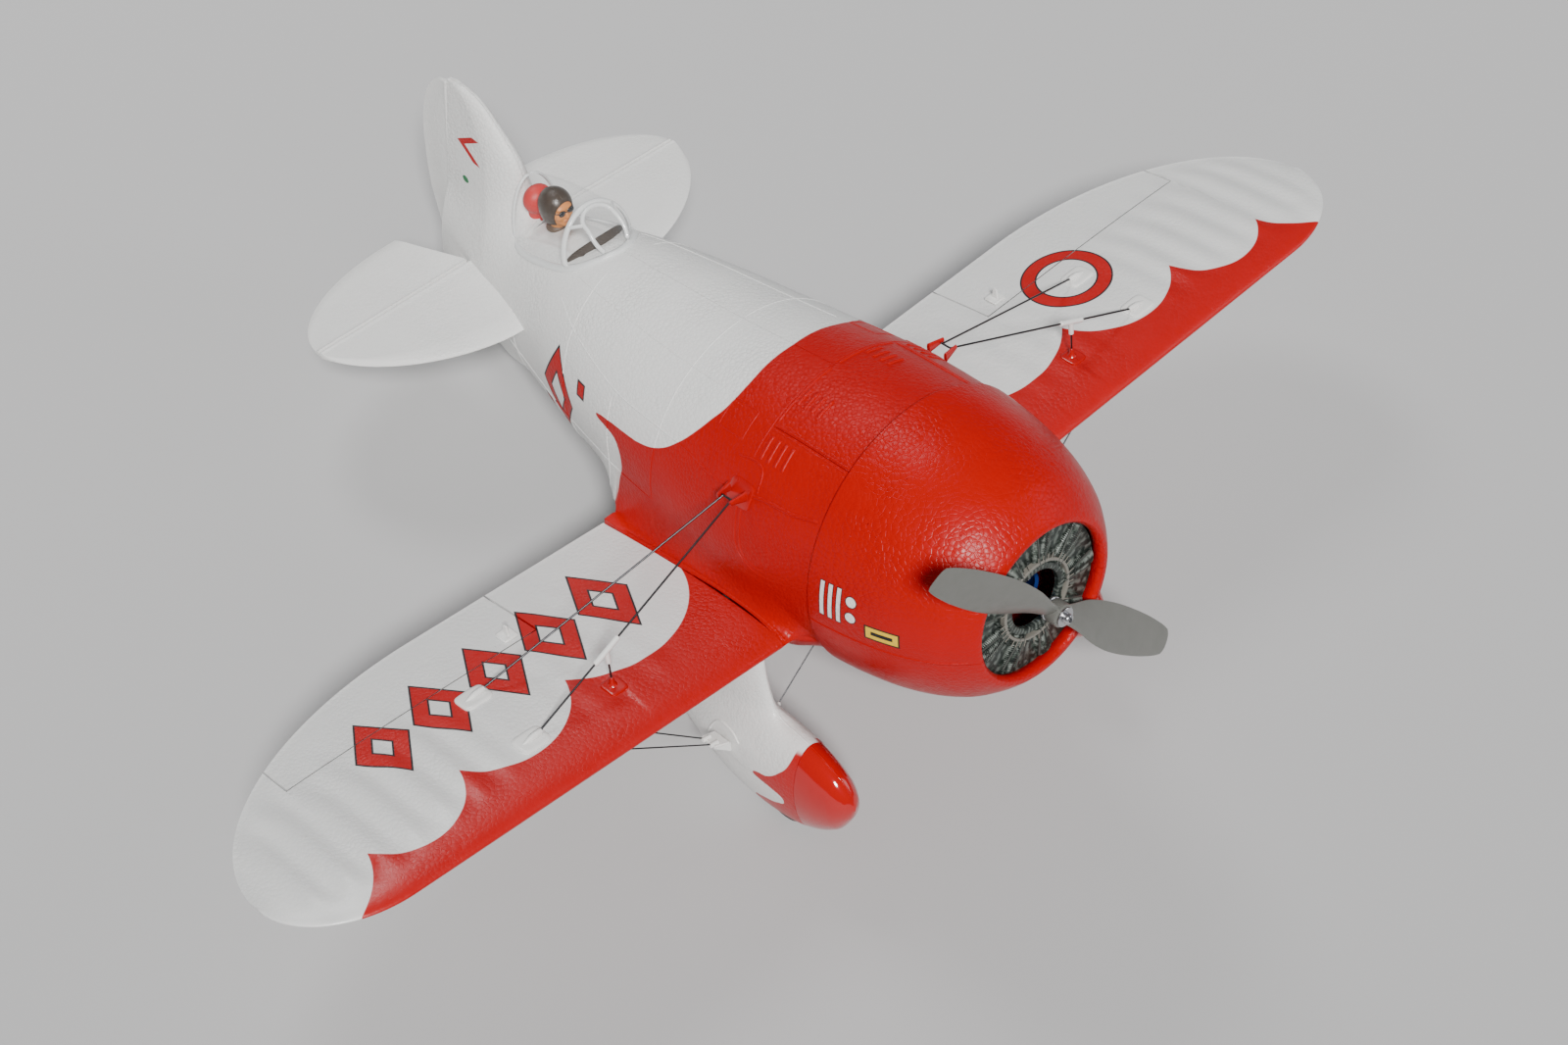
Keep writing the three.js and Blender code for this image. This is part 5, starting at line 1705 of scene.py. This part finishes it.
def wing_decals(paint, x, y, colour):
    """Plain outlined diamonds on the right wing and one large ring on the left."""
    marks = []
    for i, at in enumerate((-178, -228, -278, -328, -378)):
        middle = 76 - 1.5 * i
        marks.append(abs(diamond_distance(x - at, y - middle, 23, 43 - 2 * i) + 6.5) - 6.5)
    marks.append(abs(ring_distance(x - 300, y - 68, 30)) - 6.5)
    for mark in marks:
        colour = paint.blend(mark.below(0), colour, INK)
        colour = paint.blend(mark.below(-1.4), colour, RED)
    return colour


def wing_paint():
    paint = Paint("wing_foam", rough=0.4)
    x, y, _ = paint.place()
    span = abs(x)
    bead_foam(paint, depth=0.55)
    red = wing_red(x, y)
    # Painted shade and highlight: light and dark bands across the outer wing, in step with the moulded ribs. The
    # noise is the foam's own uneven tone.
    rib = (span * (2 * math.pi / 27)).math("SINE") * 0.5 + 0.5
    tips = span.above(320, 40) * y.below(96, 14)
    milky = paint.blend(rib * tips * 0.3 + paint.noise(24, 3) * 0.25, (0.74, 0.745, 0.735), (0.56, 0.565, 0.56))
    marked = wing_decals(paint, x, y, milky)
    paint.colour(paint.blend(red, marked, paint.red_foam()))
    paint.roughness(paint.noise(8, 3) * 0.2 + 0.3)
    paint.coat(0.15, 0.15)
    paint.soft(0.06)
    return paint


def white_foam():
    paint = Paint("tail_foam", rough=0.42)
    bead_foam(paint, depth=0.5)
    paint.colour(paint.white_foam())
    paint.set("Coat Weight", 0.12)
    paint.soft(0.06)
    return paint


def spat_paint():
    paint = Paint("spat_foam", rough=0.4)
    x, y, z = paint.place()
    bead_foam(paint, depth=0.7)
    out = abs(x) - GEAR_X
    round_by = out.math("ARCTAN2", z + 124) * (180 / math.pi)
    edge = abs(round_by).curve([
        (0, -73), (25, -71), (50, -62), (72, -50), (86, -36), (96, -52), (112, -66), (128, -58), (142, -38),
        (150, -30), (162, -40), (180, -46),
    ])
    red = (y - edge).below(0, 0.4) * z.below(-86, 2)
    paint.colour(paint.blend(red, paint.white_foam(), RED))
    paint.set("Coat Weight", 0.2)
    paint.soft(0.05)
    return paint


def plain(name, colour, rough, metal=0.0, other=None, grain=1.2, depth=0.4, **settings):
    """Plain moulded or turned stuff with a fine surface; the settings go straight on the shader."""
    paint = Paint(name, rough, metal)
    other = other or tuple(c * 0.8 for c in colour)
    paint.colour(paint.blend(paint.noise(grain * 6, 3), colour, other))
    paint.roughness(paint.noise(grain * 3, 3) * 0.2 + (rough - 0.1))
    paint.bump(paint.noise(grain, 3) * 0.06, depth)
    for socket, value in settings.items():
        paint.set(socket.replace("_", " "), value)
    return paint


def brushed(name, colour, rough):
    """Drawn or turned metal, with fine streaks."""
    paint = Paint(name, rough, 1.0)
    streaks = paint.noise(0.5, 4)
    paint.colour(paint.blend(streaks * 0.6, colour, tuple(c * 0.6 for c in colour)))
    paint.roughness(paint.noise(2.5, 3) * 0.2 + (rough - 0.08))
    paint.bump(streaks * 0.03, 0.4)
    return paint


def engine_paint(name, bright):
    """Printed metal, mottled greenish black, with painted highlights: pale streaks running out from the middle and
    small glints. `bright` sets how strong they are.
    """
    paint = Paint(name, 0.42, 0.15)
    x, _, z = paint.place()
    up = z - ENGINE_Z
    turn = x.math("ARCTAN2", up)
    # Painted highlights: pale radial streaks, with painted glints laid over them.
    streak = ((turn * 46).math("SINE") * 0.5 + 0.5) * paint.noise(5, 4).above(0.5, 0.08)
    glints = paint.noise(3.2, 4).above(0.6, 0.05)
    base = paint.blend(paint.noise(9, 3), (0.004, 0.007, 0.006), (0.022, 0.03, 0.025))
    lit = paint.blend(streak * bright, base, (0.24, 0.27, 0.245))
    paint.colour(paint.blend(glints * bright * 0.8, lit, (0.09, 0.115, 0.095)))
    paint.roughness(paint.noise(4, 3) * 0.3 + 0.25)
    paint.bump(paint.noise(0.8, 3) * 0.12, 0.6)
    return paint


def cap_paint():
    """Glossy red shell with soft moulding ripples."""
    paint = Paint("gloss_red", 0.12)
    paint.colour(paint.blend(paint.noise(26, 2) * 0.5, RED, DEEP_RED))
    paint.roughness(paint.noise(10, 3) * 0.08 + 0.07)
    paint.bump(paint.noise(11, 2) * 0.3, 0.5)
    paint.coat(0.6, 0.04)
    return paint


def glass_paint():
    """Thin clear moulding, mostly see-through, with a faint haze."""
    paint = Paint("clear_moulding", 0.05)
    haze = paint.noise(14, 3)
    paint.colour(paint.blend(haze, (0.86, 0.89, 0.9), (0.72, 0.76, 0.78)))
    edge = paint.tree.nodes.new("ShaderNodeLayerWeight")
    edge.inputs["Blend"].default_value = 0.25
    rim = Field(paint.tree, edge.outputs["Facing"])
    paint.link(haze * 0.012 + 0.008 + rim * rim * 0.22, "Alpha")
    paint.bump(paint.noise(7, 2) * 0.08, 0.4)
    paint.set("Specular IOR Level", 0.8)
    paint.coat(0.5, 0.03)
    return paint


def helmet_paint():
    """Brown leather with a fine grain and soft scuffs."""
    paint = Paint("brown_leather", 0.34)
    grain = paint.cells(0.9)
    paint.colour(paint.blend(paint.noise(4, 4), (0.022, 0.012, 0.006), (0.05, 0.029, 0.015)))
    paint.roughness(paint.noise(3, 3) * 0.3 + 0.2)
    paint.bump(grain * 0.12 + paint.noise(3, 3) * 0.15, 0.7)
    return paint


def skin_paint():
    paint = Paint("figure_skin", 0.45)
    x, y, z = paint.place()
    lip = ball_mask(x, y, z, HEAD + [0, -11, -7.8], (2.9, 3, 1.2))
    base = paint.blend(paint.noise(6, 3), (0.7, 0.26, 0.06), (0.58, 0.2, 0.045))
    paint.colour(paint.blend(lip * 0.6, base, (0.4, 0.1, 0.06)))
    paint.bump(paint.noise(0.7, 3) * 0.05, 0.5)
    paint.soft(0.12, (0.004, 0.0015, 0.001))
    return paint


def ball_mask(x, y, z, centre, radii):
    u, v, w = ((axis - float(c)) * (1 / r) for axis, c, r in zip((x, y, z), centre, radii))
    return (u * u + v * v + w * w).below(1, 0.3)


def dial_paint():
    """Black gauges with small pale marks scattered over them."""
    paint = Paint("gauges", 0.25)
    paint.colour(paint.blend(paint.noise(0.8, 2).above(0.56, 0.03), (0.012, 0.012, 0.013), (0.6, 0.6, 0.58)))
    paint.bump(paint.noise(1.0, 2) * 0.05, 0.4)
    return paint


def wood_paint():
    """Dark stained panel with grain across."""
    paint = Paint("panel_wood", 0.4)
    x, _, z = paint.place()
    lines = (z * 5 + paint.noise(9, 3) * 16 + x * 0.3).math("SINE") * 0.5 + 0.5
    paint.colour(paint.blend(lines, (0.03, 0.022, 0.018), (0.075, 0.055, 0.042)))
    paint.roughness(lines * 0.15 + 0.35)
    paint.bump(lines * 0.06, 0.5)
    return paint


def foam_rubber():
    """Black foam rubber: fine open cells."""
    paint = Paint("foam_tyre", 0.85)
    cells = paint.cells(0.7)
    paint.colour(paint.blend(paint.noise(5, 3), (0.012, 0.012, 0.012), (0.035, 0.034, 0.033)))
    paint.roughness(paint.noise(3, 2) * 0.15 + 0.75)
    paint.bump(cells * 0.3 + paint.noise(2, 3) * 0.2, 0.8)
    return paint


def carbon_paint():
    """Woven carbon tube."""
    paint = Paint("carbon_weave", 0.35)
    x, y, z = paint.place()
    weave = ((x * 4).math("SINE") * ((y + z) * 4).math("SINE")).above(0, 0.3)
    paint.colour(paint.blend(weave, (0.012, 0.012, 0.013), (0.045, 0.045, 0.048)))
    paint.roughness(weave * 0.12 + 0.28)
    paint.bump(weave * 0.04, 0.5)
    paint.set("Coat Weight", 0.5)
    return paint


def wrap_paint(name, colour):
    """Shrink-wrap film with soft wrinkles."""
    paint = Paint(name, 0.25)
    wrinkles = paint.noise(7, 4)
    paint.colour(paint.blend(wrinkles, colour, tuple(c * 0.7 for c in colour)))
    paint.roughness(wrinkles * 0.15 + 0.15)
    paint.bump(wrinkles * 0.8 + paint.noise(1.5, 2) * 0.1, 0.6)
    paint.set("Coat Weight", 0.4)
    return paint


# ---------------------------------------------------------------- assembly
add_studio()
add_camera()

HULL = hull_paint()
COWL = cowl_paint()
WING = wing_paint()
TAIL = white_foam()
SPAT_FOAM = spat_paint()
GLOSS_RED = cap_paint()
RED_MOULDING = plain("red_moulding", RED, 0.3, other=DEEP_RED, Coat_Weight=0.3)
WHITE_MOULDING = plain("white_moulding", (0.82, 0.82, 0.8), 0.32, other=(0.74, 0.74, 0.72), Subsurface_Weight=0.08,
                       Subsurface_Radius=(0.003, 0.003, 0.003), Coat_Weight=0.2)
MILKY = plain("milky_moulding", (0.78, 0.79, 0.78), 0.22, other=(0.68, 0.7, 0.7), Coat_Weight=0.4,
              Subsurface_Weight=0.2, Subsurface_Radius=(0.003, 0.003, 0.003))
WIRE = brushed("dark_wire", (0.06, 0.06, 0.065), 0.3)
STEEL = brushed("bright_steel", (0.62, 0.62, 0.64), 0.24)
BLUE = brushed("blue_anodised", (0.02, 0.06, 0.3), 0.28)
COPPER = brushed("copper_winding", (0.55, 0.2, 0.08), 0.35)
NYLON = plain("grey_nylon", (0.15, 0.15, 0.138), 0.34, other=(0.125, 0.127, 0.115), grain=2.5,
              Subsurface_Weight=0.2, Subsurface_Radius=(0.004, 0.004, 0.0035))
SERVO_BLUE = plain("servo_case", (0.02, 0.07, 0.3), 0.22, other=(0.015, 0.05, 0.22), Coat_Weight=0.4)
BLACK_MOULDING = plain("black_moulding", (0.018, 0.018, 0.02), 0.42, other=(0.03, 0.03, 0.032))
RUBBER = foam_rubber()

halves, lid = hull_parts()
relief = hull_relief()
for side, shape in halves.items():
    extra = [(SIDES[side](line), HULL) for line in relief]
    piece("fuselage_shell_" + side, "airframe", [(shape, HULL)] + extra, ["fuselage_" + side])
lid_relief = [turn(line) for line in hatch_relief() for turn in SIDES.values()]
piece("hatch_lid", "hatch", [(join(lid, *lid_relief), HULL)], ["battery_hatch"])
piece("cowl_top", "airframe",
      [(join(cowl_wall(True), *(turn(cowl_ledge()) for turn in SIDES.values())), COWL)], ["upper_cowl"])
piece("cowl_bottom", "airframe", [(cowl_wall(False), COWL)], ["lower_cowl"])

dark, cylinders, pale, ring = engine_disc()
# Lit and shaded copies of one paint: the cylinders take the full painted highlights and the back plate half as
# much.
piece("engine_relief", "airframe", [
    (dark, engine_paint("engine_dark", 0.5)), (cylinders, engine_paint("engine_fins", 1.0)),
    (pale, plain("engine_tubes", (0.1, 0.11, 0.1), 0.35, metal=0.5)),
    (ring, plain("engine_ring", (0.2, 0.19, 0.165), 0.4)),
], ["dummy_engine"])
mount, screws = motor_mount()
piece("motor_bulkhead", "airframe", [(mount, RED_MOULDING), (screws, STEEL)], ["motor_mount"])
bell, shaft, stator, coils = motor()
piece("motor_windings", "airframe", [(stator, STEEL), (coils, COPPER)], ["motor_stator"])
piece("motor_can", "rotor", [(bell, BLUE), (shaft, STEEL)], ["motor_bell"])
adapter, head = prop_fixings()
for name, shape, node in (("adapter", adapter, "prop_adapter"), ("bolt", head, "prop_screw")):
    piece("propeller_" + name, "rotor", [(shape, STEEL)], [node])
piece("propeller_blades", "rotor", [(propeller(), NYLON)], ["propeller"])

pair("wing_panel_{}", "airframe", [(wing_panel(), WING)], ["wing_{}"])
pair("aileron_panel_{}", "aileron_{}_surface", [(aileron_panel(), WING)], ["aileron_{}"])
pair("stabiliser_panel_{}", "airframe", [(tail_panel(False), TAIL)], ["stabiliser_{}"])
pair("elevator_panel_{}", "elevator", [(tail_panel(True), TAIL)], ["elevator_{}"])
piece("rudder_panel", "rudder", [(rudder_panel(), TAIL)], ["rudder"])

face, helmet, collar, shades = pilot()
piece("pilot_bust", "airframe", [
    (face, skin_paint()), (helmet, helmet_paint()), (collar, plain("jacket", (0.1, 0.06, 0.035), 0.55, depth=0.8)),
    (shades, plain("dark_lenses", (0.006, 0.006, 0.007), 0.1, Coat_Weight=0.6)),
], ["pilot"])
piece("headrest", "airframe",
      [(headrest(), plain("headrest_red", (0.6, 0.01, 0.008), 0.5, depth=0.8))])
floor, panel, dials = deck()
piece("cockpit_floor", "airframe", [(floor, TAIL), (panel, wood_paint()), (dials, dial_paint())],
      ["cockpit_tub"])
piece("canopy_glass", "airframe", [(canopy_shell(), glass_paint())], ["canopy"])
piece("canopy_frame", "airframe", [(windshield(), MILKY)], ["windshield_frame"])

leg, cap = gear_skins()
front_line, rear_line = gear_relief()
pair("gear_leg_shell_{}", "airframe", [
    (join(leg, front_line, rear_line), SPAT_FOAM),
    (rod(WHEEL - [10, 0, 0], WHEEL + [10, 0, 0], 1.9, 24), STEEL),
], ["gear_leg_{}"])
pair("spat_nose_{}", "airframe", [(join(cap, cap_relief()), GLOSS_RED)], ["spat_cap_{}"])
pair("gear_bracing_{}", "airframe", [(gear_bracket(), WHITE_MOULDING), (gear_wires(), WIRE)],
     ["gear_brace_{}"])
clip, wire = belly_wires()
pair("belly_bracing_{}", "airframe", [(clip, WHITE_MOULDING), (wire, WIRE)])
tyre, hub = wheel(WHEEL, 25 * math.cos(math.pi / 20), 6)
pair("main_wheel_foam_{}", "main_wheel_{}", [(tyre, RUBBER), (hub, WHITE_MOULDING)], ["main_wheel_{}"])
tyre, hub = wheel(TAIL_WHEEL, 12 * math.cos(math.pi / 16), 3.5)
piece("tail_wheel_foam", "tail_wheel", [(tyre, RUBBER), (hub, WHITE_MOULDING)], ["tail_wheel"])
wire, tiller = tail_leg()
piece("tail_leg_wire", "rudder", [(wire, STEEL), (tiller, WHITE_MOULDING)], ["tail_wheel_leg"])

wires, lugs = flying_wires()
pair("flying_wire_set_{}", "airframe", [(wires, WIRE), (lugs, WHITE_MOULDING)], ["flying_wires_{}"])
sleeve, pin, base = spreader()
pair("wire_spreader_set_{}", "airframe",
     [(sleeve, WHITE_MOULDING), (pin, WIRE), (base, RED_MOULDING)], ["wire_spreader_{}"])
pair("bracket_ears_{}", "airframe", [(wire_bracket(), RED_MOULDING)], ["wire_bracket_{}"])
pair("aileron_lever_{}", "aileron_{}_surface", [(aileron_horn(), WHITE_MOULDING)],
     ["aileron_horn_{}"])

pair("aileron_servo_case_{}", "airframe", [(small_servo(), SERVO_BLUE)], ["aileron_servo_{}"])
pair("aileron_arm_lever_{}", "aileron_arm_{}", [(small_arm(), WHITE_MOULDING)],
     ["aileron_servo_arm_{}"])
pair("aileron_rod_wire_{}", "aileron_rod_{}",
     [(rod([239.8, 18, -28], [246.9, 98, -18], 0.8, 16, 0.2), STEEL)], ["aileron_pushrod_{}"])
for name, x in (("elevator", 14), ("rudder", -14)):
    case, screws = servo(x)
    piece(name + "_servo_case", "airframe", [(case, SERVO_BLUE), (screws, STEEL)], [name + "_servo"])
    piece(name + "_arm_lever", name + "_arm", [(servo_arm(x), WHITE_MOULDING)],
          [name + "_servo_arm"])
piece("elevator_rod_wire", "elevator_rod", [(rod([4, 201, 38.9], [2.2, 391, 37.5], 0.9, 16, 0.2), STEEL)],
      ["elevator_pushrod"])
bend, end = [-20.5, 380, 17.8], [-19, 461, 7]
path = smooth_line([[-25, 201, 38.9], [-21, 370, 19.1], bend, [-20.2, 392, 16.2], end], 60)
piece("rudder_rod_wire", "rudder_rod", [(tube(path, 0.9, 16), STEEL)], ["rudder_pushrod"])
piece("elevator_joiner_bar", "elevator", [(joiner(), STEEL)], ["elevator_joiner"])
piece("spar_tube", "airframe", [(rod([-190, 20, -13], [190, 20, -13], 3, 32, 0.3), carbon_paint())],
      ["wing_spar"])
for name, node, low, high, ends, ease_by, film, end_paint in (
    ("battery_pack", "battery", (-22, -49.6, -46), (22, 61.6, -18), 3, 3.5,
     wrap_paint("battery_film", (0.03, 0.05, 0.16)), BLACK_MOULDING),
    ("controller_pack", "speed_controller", (-17, -19.6, -62), (17, 44.6, -50), 1.5, 2.0,
     wrap_paint("controller_film", (0.02, 0.02, 0.022)), BLACK_MOULDING),
    ("receiver_case", "receiver", (-13, 110.4, -40), (13, 154.6, -26), 1.5, 1.2,
     BLACK_MOULDING, plain("receiver_pins", (0.3, 0.3, 0.3), 0.3, metal=0.8)),
):
    pack, caps = wrapped_pack(low, high, ends, ease_by)
    piece(name, "airframe", [(pack, film), (caps, end_paint)], [node])
